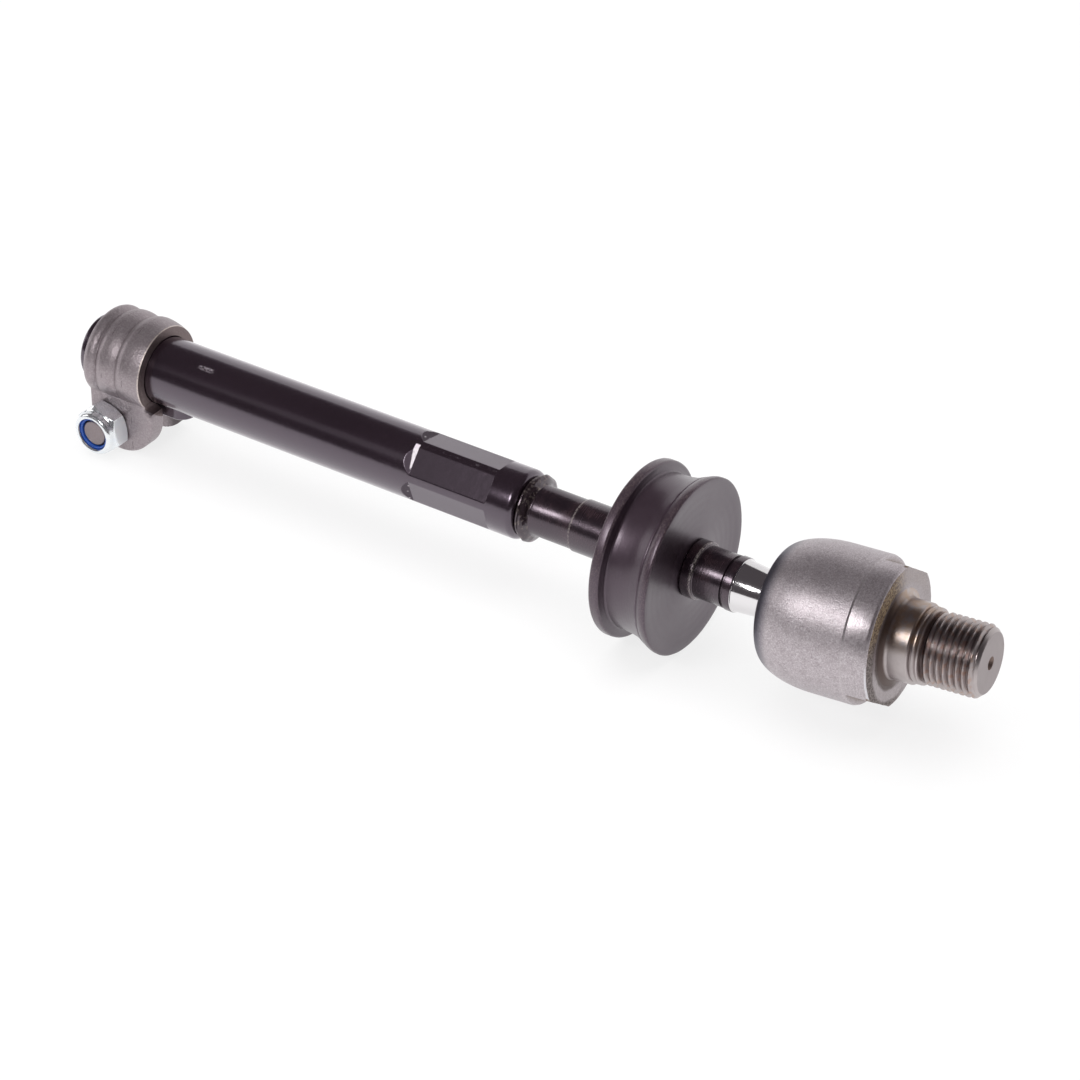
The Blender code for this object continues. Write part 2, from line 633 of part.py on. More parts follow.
def build():
    """Make every piece and set it in its frame."""
    remove_objects()
    black_paint = make_material("black_paint", (0.025, 0.022, 0.025), 0.32, 0.0)
    black_steel = make_material("phosphated_steel", (0.05, 0.045, 0.05), 0.3, 0.6)
    forged = make_material("forged_steel", (0.42, 0.39, 0.38), 0.42, 0.9)
    machined = make_material("machined_steel", (0.56, 0.54, 0.54), 0.33, 1.0)
    zinc = make_material("zinc_plate", (0.83, 0.85, 0.86), 0.2, 1.0)
    steel = make_material("bolt_steel", (0.5, 0.48, 0.47), 0.4, 0.9)
    rubber = make_material("rubber", (0.04, 0.038, 0.042), 0.5, 0.0)
    nylon = make_material("blue_nylon", (0.05, 0.12, 0.45), 0.4, 0.0)
    acetal = make_material("acetal", (0.85, 0.84, 0.8), 0.35, 0.0)
    elastomer = make_material("elastomer", (0.1, 0.1, 0.1), 0.6, 0.0)

    rod = add_frame("tie_rod", place=(ball_centre_x(), 0.0, GROMMET_RADIUS))
    place_in(ball_stud(black_steel), rod)
    tube, tube_tools = adjuster_tube(black_paint)
    for item in [tube] + tube_tools:
        place_in(item, rod, item.location, item.rotation_euler)
    place_in(boot_grommet(rubber), rod)

    clamp_left = -TUBE_END_REACH - TUBE_LENGTH + CLAMP_TO_TUBE_END
    clamp = add_frame("clamp", rod, (clamp_left, 0.0, 0.0))
    ring, ring_tools = clamp_ring(forged)
    for item in [ring] + ring_tools:
        place_in(item, clamp, item.location, item.rotation_euler)
    bolt_axis = add_frame("bolt_axis", clamp, (BOLT_PLACE, 0.0, -BOLT_DROP),
                          (0.0, 0.0, -math.pi / 2.0))
    for piece, tools in (clamp_bolt(steel), clamp_nut(zinc)):
        for item in [piece] + tools:
            place_in(item, bolt_axis)
    place_in(nut_insert(nylon), bolt_axis)

    swing_sideways = add_frame("swing_sideways", rod, turn=(0.0, 0.0, REST_YAW))
    swing_vertical = add_frame("swing_vertical", swing_sideways, turn=(0.0, -REST_PITCH, 0.0))
    place_in(ball_seat(acetal), swing_sideways)
    place_in(preload_pad(elastomer), swing_vertical)
    housing, housing_tools = joint_housing(machined)
    for item in [housing] + housing_tools:
        place_in(item, swing_vertical, item.location, item.rotation_euler)


build()
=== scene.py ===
"""An inner steering tie rod with its looks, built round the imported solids.

Lengths along the rod are measured from the ball's centre, as they are in the solids. Every piece
is turned or pressed out of a bmesh, and its place is kept in its mesh.
"""

import math

import bmesh
import bpy
from mathutils import Matrix, Vector, noise


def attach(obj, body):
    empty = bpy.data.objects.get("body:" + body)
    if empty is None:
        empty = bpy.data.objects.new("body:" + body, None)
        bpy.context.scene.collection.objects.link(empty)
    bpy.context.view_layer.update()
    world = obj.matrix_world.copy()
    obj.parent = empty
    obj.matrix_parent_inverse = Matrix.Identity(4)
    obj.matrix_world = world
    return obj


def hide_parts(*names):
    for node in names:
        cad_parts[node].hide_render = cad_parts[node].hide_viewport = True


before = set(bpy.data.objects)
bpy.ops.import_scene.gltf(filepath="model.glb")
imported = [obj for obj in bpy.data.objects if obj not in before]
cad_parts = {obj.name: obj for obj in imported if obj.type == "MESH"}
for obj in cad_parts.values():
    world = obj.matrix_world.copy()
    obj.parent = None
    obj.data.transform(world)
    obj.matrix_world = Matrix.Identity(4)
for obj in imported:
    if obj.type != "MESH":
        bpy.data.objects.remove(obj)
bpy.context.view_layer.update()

MM = 0.001
QUARTER = math.pi / 2.0
TURN = math.tau

# The ball joint
BALL = Vector((95.3132, 0.0, 25.0)) * MM
REST_PITCH = math.radians(3.0)
REST_YAW = math.radians(3.0)
BALL_RADIUS = 12.5
SEAT_GAP = 0.25

# The tube
TUBE_LEFT = -239.6
TUBE_RIGHT = -89.9
TUBE_RADIUS = 10.0
TUBE_BORE = 6.2
TUBE_BORE_END = -134.6
HEX_LEFT = -123.7
HEX_RIGHT = -98.7
HEX_FLATS = 18.3
HEX_ROLL = math.radians(10.6)
HEX_LEFT_RUN = 2.7
HEX_RIGHT_RUN = 0.5
SLIT_WIDTH = 3.0
SLIT_LENGTH = 16.5
LUG_LEFT = -221.1
LUG_RIGHT = -205.9
LUG_WIDTH = 9.0
LUG_DROP = 12.8

# The rod, with a step, a stop collar and a polished neck
SPIGOT_LEFT = -103.9
SPIGOT_RADIUS = 5.6
BEAD_LENGTH = 3.5
ROD_STEP = -73.1
ROD_RADIUS = 7.45
COLLAR_LEFT = -37.85
COLLAR_RIGHT = -34.55
COLLAR_RADIUS = 8.1
NECK_LEFT = -23.3

# The grommet
GROMMET_LEFT = -55.8
GROMMET_RIGHT = -38.1
GROMMET_BORE = 7.7
GROMMET_RADIUS = 25.0

# The clamp
CLAMP_LEFT = -235.8
CLAMP_WIDTH = 20.2
CLAMP_RADIUS = 13.1
# Distance from the left face and height over the ring, with sharp grooves between full crests
RIBS = ((0.0, -0.9), (0.12, -0.3), (0.5, 0.25), (1.0, 0.65), (1.7, 0.95), (2.5, 0.95), (3.3, 0.7),
        (3.9, 0.3), (4.3, -0.15), (4.5, -0.15), (4.95, 0.35), (5.6, 0.75), (6.6, 1.0), (7.7, 1.02),
        (8.8, 0.9), (10.0, 0.6), (10.9, 0.2), (11.4, -0.15), (11.6, -0.15), (12.1, 0.35), (12.9, 0.75),
        (13.9, 1.02), (14.9, 1.05), (16.0, 0.95), (17.2, 0.76), (18.4, 0.48), (19.4, 0.18),
        (20.2, -0.1), (20.6, -0.2))
RIB_GROOVES = (4.4, 11.5)
RIB_SEAMS = (7.7, 15.1)
EAR_HALF_THICKNESS = 10.9
EAR_GAP = 10.6
EAR_LENGTH = 22.4
EAR_TOP = -5.0
EAR_TOE_TOP = -9.6
EAR_BOTTOM = -25.0
BOLT_PLACE = 6.65
BOLT_DROP = 17.2
FORGING_GRID = 0.28

# The clamp's bolt and nut
BOLT_RADIUS = 4.0
HEAD_HEIGHT = 5.3
HEAD_ROLL = math.radians(10.0)
NUT_FLATS = 13.7
NUT_HEX_HEIGHT = 5.3
NUT_HEIGHT = 7.7
NUT_COLLAR = 6.5
NUT_ROLL = math.radians(-9.2)
BOLT_PITCH = 1.25

# The housing
HOUSING_WALL_START = 15.7
HOUSING_BASE = 22.9
HOUSING_RADIUS = 20.2
HOUSING_WALL = 19.9
HOUSING_FLAT = 18.0
HOUSING_FLAT_LENGTH = 6.6
HOUSING_FLAT_ROLL = math.radians(37.0)
THREAD_START = 33.3
THREAD_END = 48.5
THREAD_RADIUS = 9.85
THREAD_DEPTH = 1.0
THREAD_PITCH = 1.78

# The studio, and the camera with its lens and shift in pixels of the picture
ROOM_LEVEL = 0.16
ROOM_IN_MIRROR = 0.075
SWEEP_WHITENESS = 0.8
PICTURE_WIDTH = 1080.0
FOCAL_LENGTH = 3520.0
SHIFT_RIGHT = 9.97
SHIFT_UP = 26.74
CAMERA_AZIMUTH = math.radians(33.2)
CAMERA_ELEVATION = math.radians(34.2)
CAMERA_ROLL = -0.01
CAMERA_DISTANCE = 951.3
CAMERA_AIM = Vector((11.613, 0.0, 25.0)) * MM
SENSOR_WIDTH = 36.0

ROD_PLACE = Matrix.Translation(BALL)
CLAMP_PLACE = Matrix.Translation(BALL + Vector((CLAMP_LEFT, 0.0, 0.0)) * MM)
BOLT_AXIS = (CLAMP_PLACE @ Matrix.Translation(Vector((BOLT_PLACE, 0.0, -BOLT_DROP)) * MM)
             @ Matrix.Rotation(-QUARTER, 4, "Z"))
HOUSING_PLACE = (ROD_PLACE @ Matrix.Rotation(REST_YAW, 4, "Z")
                 @ Matrix.Rotation(-REST_PITCH, 4, "Y"))


# Finishes

NOISE_ROUGHNESS = 0.55


class Value:
    """A number or colour that a node gives, with arithmetic on numbers."""

    def __init__(self, finish, socket):
        self.finish = finish
        self.socket = socket

    def maths(self, operation, *values):
        return self.finish.node("ShaderNodeMath", {"operation": operation},
                                dict(enumerate(values)))

    def __add__(self, other):
        return self.maths("ADD", self, other)

    __radd__ = __add__

    def __sub__(self, other):
        return self.maths("SUBTRACT", self, other)

    def __rsub__(self, other):
        return self.maths("SUBTRACT", other, self)

    def __mul__(self, other):
        return self.maths("MULTIPLY", self, other)

    __rmul__ = __mul__

    def power(self, other):
        return self.maths("POWER", self, other)

    def wave(self):
        return self.maths("SINE", self)

    def absolute(self):
        return self.maths("ABSOLUTE", self)

    def between(self, low, high):
        """0 below low, 1 above high, and a soft step from one to the other."""
        return self.finish.node("ShaderNodeMapRange", {"interpolation_type": "SMOOTHSTEP"},
                                {"Value": self, "From Min": low, "From Max": high})


class Finish:
    """One surface finish. Its patterns are in millimetres of the object."""

    def __init__(self, name, colour, roughness, metallic, **constants):
        self.material = bpy.data.materials.new(name)
        self.material.use_nodes = True
        self.material.diffuse_color = (*colour, 1.0)
        self.tree = self.material.node_tree
        self.shader = self.tree.nodes["Principled BSDF"]
        self.set("Base Color", (*colour, 1.0))
        self.set("Roughness", roughness)
        self.set("Metallic", metallic)
        for socket, value in constants.items():
            self.set(socket.replace("_", " "), value)
        place = self.tree.nodes.new("ShaderNodeTexCoord")
        self.place = self.node("ShaderNodeVectorMath", {"operation": "SCALE"},
                               {0: Value(self, place.outputs["Object"]), "Scale": 1.0 / MM})

    def set(self, socket, value):
        """Give one of the shader's sockets a value or a link."""
        target = self.shader.inputs[socket]
        if isinstance(value, Value):
            self.tree.links.new(value.socket, target)
        else:
            target.default_value = value

    def node(self, kind, settings=None, inputs=None, output=0):
        """Add a node, set it up and feed it, and give one of its outputs."""
        made = self.tree.nodes.new(kind)
        for key, value in (settings or {}).items():
            setattr(made, key, value)
        for key, value in (inputs or {}).items():
            if isinstance(value, Value):
                self.tree.links.new(value.socket, made.inputs[key])
            else:
                made.inputs[key].default_value = value
        return Value(self, made.outputs[output])

    def grain(self, size, detail=3.0, stretch=(1.0, 1.0, 1.0), place=None):
        """Cloudy noise, with clouds of about this size in millimetres."""
        spread = self.node("ShaderNodeMapping", None,
                           {"Vector": place or self.place, "Scale": stretch})
        return self.node("ShaderNodeTexNoise", None,
                         {"Vector": spread, "Scale": 1.0 / size, "Detail": detail,
                          "Roughness": NOISE_ROUGHNESS})

    def pits(self, size):
        """Distance to the nearest of scattered points."""
        return self.node("ShaderNodeTexVoronoi", None,
                         {"Vector": self.place, "Scale": 1.0 / size})

    def mix(self, factor, first, second):
        """Blend two colours."""
        return self.node("ShaderNodeMix", {"data_type": "RGBA"},
                         {0: factor, 6: first, 7: second}, output=2)

    def along(self, matrix):
        """Position in a turned and shifted frame, in millimetres, as three numbers."""
        back = matrix.inverted()
        angles = back.to_euler()
        moved = self.node("ShaderNodeMapping", None,
                          {"Vector": self.place, "Location": back.translation / MM,
                           "Rotation": angles})
        parts = [self.node("ShaderNodeSeparateXYZ", None, {0: moved}, output=axis)
                 for axis in range(3)]
        return moved, parts

    def radius(self, across, up):
        """Distance from the local X axis."""
        return (across * across + up * up).power(0.5)

    def bump(self, height, depth):
        """Raise the surface by a height of 0 to 1 times this depth in millimetres."""
        self.set("Normal", self.node("ShaderNodeBump", None,
                                     {"Strength": 1.0, "Distance": depth * MM,
                                      "Height": height}))


def rgb(red, green, blue):
    """A colour for a node's socket."""
    return (red, green, blue, 1.0)


def hex_angle_mask(finish, across, up, roll, width):
    """1 on the corners of a hexagon round the local X axis."""
    angle = finish.node("ShaderNodeMath", {"operation": "ARCTAN2"}, {0: across, 1: up})
    sector = finish.node("ShaderNodeMath", {"operation": "PINGPONG"},
                         {0: angle - roll, 1: math.radians(30.0)})
    return sector.between(math.radians(30.0) - 2.0 * width, math.radians(30.0) - 0.5 * width)


def black_paint():
    """Gloss black paint over drawn steel, with small dents, dust, a few worn places and a painted
    highlight: a small white triangle at the left end of one flat.
    """
    finish = Finish("black_paint", (0.01, 0.006, 0.009), 0.22, 0.0, Specular_IOR_Level=1.0,
                    Specular_Tint=rgb(1.0, 0.8, 1.0), Coat_Weight=1.0, Coat_Roughness=0.15,
                    Coat_Tint=rgb(1.0, 0.95, 1.0))
    moved, (along, across, up) = finish.along(ROD_PLACE)
    cloud = finish.grain(16.0, 4.0, (0.35, 1.0, 1.0))
    fine = finish.grain(1.3, 4.0)
    speck = finish.grain(0.45, 2.0)
    dust = speck.between(0.68, 0.76) * fine.between(0.52, 0.68)
    on_flats = along.between(HEX_LEFT, HEX_LEFT + 0.3) * (1.0 - along.between(HEX_RIGHT - 0.3,
                                                                             HEX_RIGHT))
    corner = hex_angle_mask(finish, across, up, HEX_ROLL, math.radians(1.2)) * on_flats
    # Painted highlight: a small near-white triangle, made matt, at the left end of one flat.
    taper = along - HEX_LEFT + 0.3 + 0.22 * (up - 4.0)
    wedge_highlight = taper.between(-0.1, 0.1) * along.between(HEX_LEFT + 0.12, HEX_LEFT - 0.05) \
        * across.between(-3.4, -3.8) * up.between(4.0, 4.6)
    round_off = finish.radius(across, up).between(9.99, 9.94)
    run_out = along.between(HEX_LEFT - HEX_LEFT_RUN - 0.1, HEX_LEFT - HEX_LEFT_RUN + 0.1) \
        * (1.0 - along.between(HEX_LEFT - 0.05, HEX_LEFT + 0.05)) * round_off
    step = along.between(HEX_RIGHT + 0.02, HEX_RIGHT + 0.12) \
        * (1.0 - along.between(HEX_RIGHT + 0.4, HEX_RIGHT + 0.5)) * round_off
    rubbed_and_highlight = corner * fine.between(0.55, 0.7) * 0.06 + wedge_highlight * (0.75 + 0.25 * fine.between(0.3, 0.45)) \
        + run_out * fine.between(0.62, 0.68) * 0.7 + step * fine.between(0.35, 0.6) * 0.25
    scuff_place = Vector((-197.0, -4.6, 8.9))
    scuff_run = (along - scuff_place.x).absolute().between(3.2, 1.0)
    scuff_side = (across - scuff_place.y).absolute().between(0.8, 0.3)
    streaks = finish.grain(0.22, 2.0, (0.4, 1.2, 1.2)).between(0.5, 0.58)
    scuff = scuff_run * scuff_side * streaks * up.between(5.0, 6.0) * 0.75
    # This mask joins the rubbed places, the scuff and the painted highlight of the white triangle.
    worn = finish.node("ShaderNodeMath", {"operation": "MAXIMUM"}, {0: rubbed_and_highlight, 1: scuff})
    colour = finish.mix(cloud, rgb(0.006, 0.0035, 0.005), rgb(0.012, 0.0075, 0.01))
    colour = finish.mix(dust * 0.25, colour, rgb(0.2, 0.175, 0.19))
    finish.set("Base Color", finish.mix(worn, colour, rgb(0.84, 0.8, 0.82)))
    finish.set("Metallic", (worn - wedge_highlight * 0.7) * 0.9)
    finish.set("Coat Weight", 1.0 - run_out)
    finish.set("Roughness", 0.15 + 0.11 * cloud + 0.07 * fine + 0.1 * worn + 0.3 * run_out)
    finish.bump(finish.grain(5.0, 2.0) * 0.45 + fine * 0.22 + speck * 0.08 - worn * 0.06, 0.15)
    return finish.material


def black_steel():
    """Turned steel, blackened, with fine rings from the tool."""
    finish = Finish("black_turned_steel", (0.01, 0.007, 0.008), 0.2, 0.0,
                    Specular_IOR_Level=1.0, Specular_Tint=rgb(1.0, 0.78, 0.94),
                    Coat_Weight=0.45, Coat_Roughness=0.18)
    moved, (along, across, up) = finish.along(ROD_PLACE)
    rings = finish.grain(0.32, 3.0, (1.0, 0.02, 0.02))
    cloud = finish.grain(4.0, 4.0)
    speck = finish.grain(0.4, 2.0)
    brown = finish.mix(cloud.between(0.4, 0.7), rgb(0.006, 0.0035, 0.005), rgb(0.018, 0.01, 0.012))
    edges = (along - ROD_STEP + 0.1).absolute().between(0.5, 0.15) \
        + (along - COLLAR_RIGHT + 0.35).absolute().between(0.5, 0.2)
    worn = edges * speck.between(0.4, 0.6) * 0.45
    finish.set("Base Color", finish.mix(worn, brown, rgb(0.5, 0.45, 0.42)))
    finish.set("Metallic", worn * 0.8)
    finish.set("Roughness", 0.15 + 0.1 * rings + 0.12 * cloud)
    finish.bump(rings * 0.25 + cloud * 0.5 + speck * 0.3, 0.08)
    return finish.material


def bead_steel():
    """Weld bead, blackened, lumpy and bright on its high places."""
    finish = Finish("blackened_bead", (0.02, 0.015, 0.016), 0.16, 0.0, Specular_IOR_Level=1.0,
                    Specular_Tint=rgb(1.0, 0.82, 0.94), Coat_Weight=0.3, Coat_Roughness=0.1)
    cloud = finish.grain(1.1, 4.0)
    high = cloud.between(0.55, 0.64)
    finish.set("Base Color", finish.mix(high * 0.45, rgb(0.012, 0.008, 0.009), rgb(0.4, 0.34, 0.31)))
    finish.set("Metallic", 0.8 * high)
    finish.set("Roughness", 0.12 + 0.12 * cloud)
    finish.bump(cloud, 0.12)
    return finish.material


def bright_neck():
    """Polished steel of the ball and its neck."""
    finish = Finish("polished_neck", (0.8, 0.78, 0.79), 0.06, 1.0)
    rings = finish.grain(0.25, 2.0, (1.0, 0.02, 0.02))
    finish.set("Roughness", 0.08 + 0.06 * rings)
    finish.bump(rings, 0.003)
    return finish.material


def forged_steel():
    """Raw forging with a fine, even blast grain."""
    finish = Finish("raw_forging", (0.33, 0.285, 0.295), 0.38, 0.85)
    grain = finish.grain(0.5, 5.0)
    cloud = finish.grain(7.0, 4.0)
    pits = finish.pits(0.8)
    colour = finish.mix(cloud, rgb(0.29, 0.247, 0.262), rgb(0.4, 0.347, 0.365))
    colour = finish.mix(grain.between(0.4, 0.7) * 0.4, colour, rgb(0.6, 0.54, 0.565))
    moved, (along, across, up) = finish.along(CLAMP_PLACE)
    rim = finish.radius(across, up).between(13.4, 13.2) \
        * along.between(CLAMP_WIDTH - 0.06, CLAMP_WIDTH - 0.02)
    # Painted highlight: a light, warm band along the upper part of the ring's right edge.
    rim_edge_highlight = along.between(CLAMP_WIDTH - 0.5, CLAMP_WIDTH - 0.3) * (1.0 - rim) \
        * (1.0 - along.between(CLAMP_WIDTH + 0.1, CLAMP_WIDTH + 0.3)) * up.between(-8.0, -6.0)
    height = finish.radius(across, up)
    # Painted shade: the ribs' grooves are darkened.
    groove_shade = sum((along - x).absolute().between(0.7, 0.1) for x in RIB_GROOVES)
    seam = sum((along - x).absolute().between(0.16, 0.05) for x in RIB_SEAMS)
    seam = seam * finish.grain(3.0, 2.0).between(0.5, 0.6) * height.between(13.0, 13.4)
    colour = finish.mix(groove_shade * height.between(12.6, 12.9) * 0.2, colour,
                        rgb(0.13, 0.105, 0.11))
    colour = finish.mix(seam * 0.5, colour, rgb(0.14, 0.115, 0.12))
    shade = across.between(4.0, 5.5) * up.between(-9.0, -10.0) * along.between(14.0, 18.0)
    colour = finish.mix(rim_edge_highlight * finish.grain(0.7, 3.0).between(0.25, 0.5) * 0.8, colour,
                        rgb(0.8, 0.7, 0.64))
    colour = finish.mix(shade * 0.7, colour, rgb(0.05, 0.04, 0.042))
    finish.set("Base Color", finish.mix(rim * 0.75, colour, rgb(0.13, 0.088, 0.08)))
    finish.set("Roughness", 0.3 + 0.14 * grain + 0.08 * cloud)
    finish.bump(grain * 0.7 + pits * 0.25 + cloud * 0.2 - seam, 0.15)
    return finish.material


def zinc():
    """Bright zinc plate, faintly blue, with one side of the nut less shiny and pale: a painted
    highlight.
    """
    finish = Finish("zinc_plate", (0.9, 0.93, 0.96), 0.2, 0.9)
    moved, (along, across, up) = finish.along(BOLT_AXIS)
    side = NUT_ROLL + QUARTER
    height = across * math.sin(side) + up * math.cos(side)
    hex_end = EAR_HALF_THICKNESS + SEAT_GAP + NUT_HEX_HEIGHT
    # Painted highlight: one side of the nut is made less metallic and rougher, so that it reads pale.
    satin_highlight_side = height.between(NUT_FLATS / 2.0 - 0.3, NUT_FLATS / 2.0 - 0.1) \
        * along.between(hex_end + 0.1, hex_end - 0.3)
    cloud = finish.grain(2.2, 3.0)
    fine = finish.grain(0.3, 3.0)
    colour = finish.mix(cloud, rgb(0.8, 0.86, 0.92), rgb(0.93, 0.93, 0.92))
    finish.set("Base Color", colour)
    finish.set("Metallic", 0.9 - 0.55 * satin_highlight_side)
    finish.set("Roughness", 0.12 + 0.08 * cloud + 0.04 * fine + 0.2 * satin_highlight_side)
    finish.bump(cloud * 0.4 + fine * 0.2, 0.02)
    return finish.material


def bolt_steel():
    """Plain bolt steel with a sawn end."""
    finish = Finish("bolt_steel", (0.33, 0.31, 0.3), 0.42, 0.85)
    fine = finish.grain(0.5, 4.0)
    finish.set("Base Color", finish.mix(fine, rgb(0.22, 0.18, 0.185), rgb(0.36, 0.31, 0.32)))
    finish.set("Roughness", 0.34 + 0.2 * fine)
    finish.bump(fine, 0.05)
    return finish.material


def nylon():
    """Blue nylon."""
    finish = Finish("blue_nylon", (0.02, 0.085, 0.42), 0.32, 0.0)
    fine = finish.grain(0.6, 3.0)
    finish.set("Base Color", finish.mix(fine, rgb(0.015, 0.06, 0.34), rgb(0.035, 0.13, 0.52)))
    finish.bump(fine, 0.03)
    return finish.material


def rubber():
    """Moulded rubber, satin, with a faint bloom and scuffed rims."""
    finish = Finish("moulded_rubber", (0.02, 0.015, 0.018), 0.34, 0.0, Specular_IOR_Level=1.0,
                    Specular_Tint=rgb(1.0, 0.76, 0.95), Coat_Weight=0.45, Coat_Roughness=0.24)
    moved, (along, across, up) = finish.along(ROD_PLACE)
    cloud = finish.grain(6.0, 4.0)
    fine = finish.grain(0.35, 3.0)
    rings = finish.grain(0.5, 2.0, (1.0, 0.03, 0.03))
    radius = finish.radius(across, up)
    face_rings = (radius * 2.6).wave() * 0.5 + 0.5
    rim = radius.between(GROMMET_RADIUS - 0.8, GROMMET_RADIUS - 0.2)
    colour = finish.mix(cloud, rgb(0.014, 0.0085, 0.0115), rgb(0.028, 0.0185, 0.025))
    bloom = rim * fine.between(0.45, 0.7) * 0.35 + fine.between(0.64, 0.74) * 0.1
    finish.set("Base Color", finish.mix(bloom, colour, rgb(0.17, 0.135, 0.125)))
    finish.set("Roughness", 0.27 + 0.12 * cloud + 0.1 * fine)
    finish.bump(cloud * 0.5 + fine * 0.16 + rings * 0.22 + face_rings * 0.12, 0.13)
    return finish.material


def housing_steel():
    """Blasted steel, with a machined band and a rough sheared edge at the flange."""
    finish = Finish("housing_steel", (0.48, 0.43, 0.455), 0.36, 0.88)
    moved, (along, across, up) = finish.along(HOUSING_PLACE)
    grain = finish.grain(0.38, 4.0)
    cloud = finish.grain(9.0, 4.0)
    mottle = finish.grain(2.2, 4.0)
    lines = finish.grain(0.3, 3.0, (1.0, 0.03, 0.03), place=moved)
    radius = finish.radius(across, up)
    band = along.between(HOUSING_WALL_START - 0.2, HOUSING_WALL_START + 0.2) \
        * (1.0 - along.between(HOUSING_BASE - 0.1, HOUSING_BASE))
    lines_on = band * 0.8 + 0.2
    colour = finish.mix(cloud, rgb(0.42, 0.37, 0.39), rgb(0.52, 0.465, 0.49))
    colour = finish.mix(grain.between(0.42, 0.66) * 0.6, colour, rgb(0.72, 0.68, 0.7))
    colour = finish.mix(finish.grain(0.5, 3.0).between(0.52, 0.66) * 0.4, colour,
                        rgb(0.24, 0.2, 0.215))
    colour = finish.mix(mottle.between(0.5, 0.7) * 0.3, colour, rgb(0.3, 0.255, 0.27))
    colour = finish.mix(lines.between(0.5, 0.7) * band * 0.35, colour, rgb(0.3, 0.27, 0.27))
    # Painted shade: towards the cup's left end the colour goes dark blue-black, standing in for a dark
    # reflection.
    colour = finish.mix(along.between(-5.5, -10.0) * 0.85, colour, rgb(0.07, 0.07, 0.1))
    ring_line = (along - (HOUSING_WALL_START + 0.1)).absolute().between(0.4, 0.1)
    colour = finish.mix(ring_line * 0.25, colour, rgb(0.7, 0.66, 0.67))
    rough_rim = radius + 1.4 * (finish.grain(2.4, 4.0) - 0.5)
    on_face = along.between(HOUSING_BASE - 0.12, HOUSING_BASE - 0.04)
    left_side = across.between(5.0, -5.0)
    sheared = on_face * (rough_rim + 0.1 * up).between(15.2, 16.2) * (0.12 + 0.88 * left_side)
    # Painted highlight: a light line on the flange's chamfer, low on the near side only.
    edge = along.between(HOUSING_BASE - 0.55, HOUSING_BASE - 0.45) * (1.0 - on_face) \
        * radius.between(18.2, 18.5) * left_side * up.between(4.0, -2.0)
    flat_height = (across * math.sin(HOUSING_FLAT_ROLL) + up * math.cos(HOUSING_FLAT_ROLL)).absolute()
    on_flat = flat_height.between(HOUSING_FLAT - 0.7, HOUSING_FLAT - 0.4) * (1.0 - on_face) \
        * along.between(HOUSING_BASE - HOUSING_FLAT_LENGTH, HOUSING_BASE - HOUSING_FLAT_LENGTH + 0.4) \
        * radius.between(19.85, 19.75)
    rust = finish.grain(0.6, 4.0).between(0.42, 0.58)
    # Painted reflection: the sheared band, coloured mostly on the near side, is gold-brown on top and
    # grey below; the rust speckle is the same in both.
    golden_sheen_and_rust = finish.mix(rust, rgb(0.46, 0.34, 0.2), rgb(0.12, 0.075, 0.045))
    grey = finish.mix(rust, rgb(0.33, 0.285, 0.27), rgb(0.12, 0.095, 0.088))
    sheared_colour_and_sheen = finish.mix(up.between(2.0, 11.0), grey, golden_sheen_and_rust)
    # Painted shade: on the near side, the corner between the flange's face and the stud is darkened to
    # brown.
    painted_corner_shade = on_face * rough_rim.between(14.8, 13.6) * left_side
    colour = finish.mix(on_face * 0.45, colour, rgb(0.3, 0.255, 0.25))
    colour = finish.mix(edge * 0.6, colour, rgb(0.86, 0.86, 0.9))
    colour = finish.mix(on_flat * (0.5 + 0.35 * rust), colour, rgb(0.22, 0.155, 0.1))
    colour = finish.mix(painted_corner_shade * 0.85, colour, rgb(0.09, 0.06, 0.05))
    finish.set("Base Color", finish.mix(sheared * 0.9, colour, sheared_colour_and_sheen))
    finish.set("Metallic", 0.88 - 0.4 * sheared - 0.3 * painted_corner_shade)
    finish.set("Roughness", 0.32 + 0.12 * grain + 0.05 * cloud - 0.05 * band + 0.18 * sheared
               + 0.15 * on_flat + 0.1 * painted_corner_shade)
    relief = grain * (1.0 - 0.6 * band) * 0.45 + lines * lines_on * 0.25 + mottle * 0.22 \
        + sheared * finish.grain(0.5, 4.0) * 2.2 + on_flat * rust * 0.5
    finish.bump(relief, 0.17)
    return finish.material


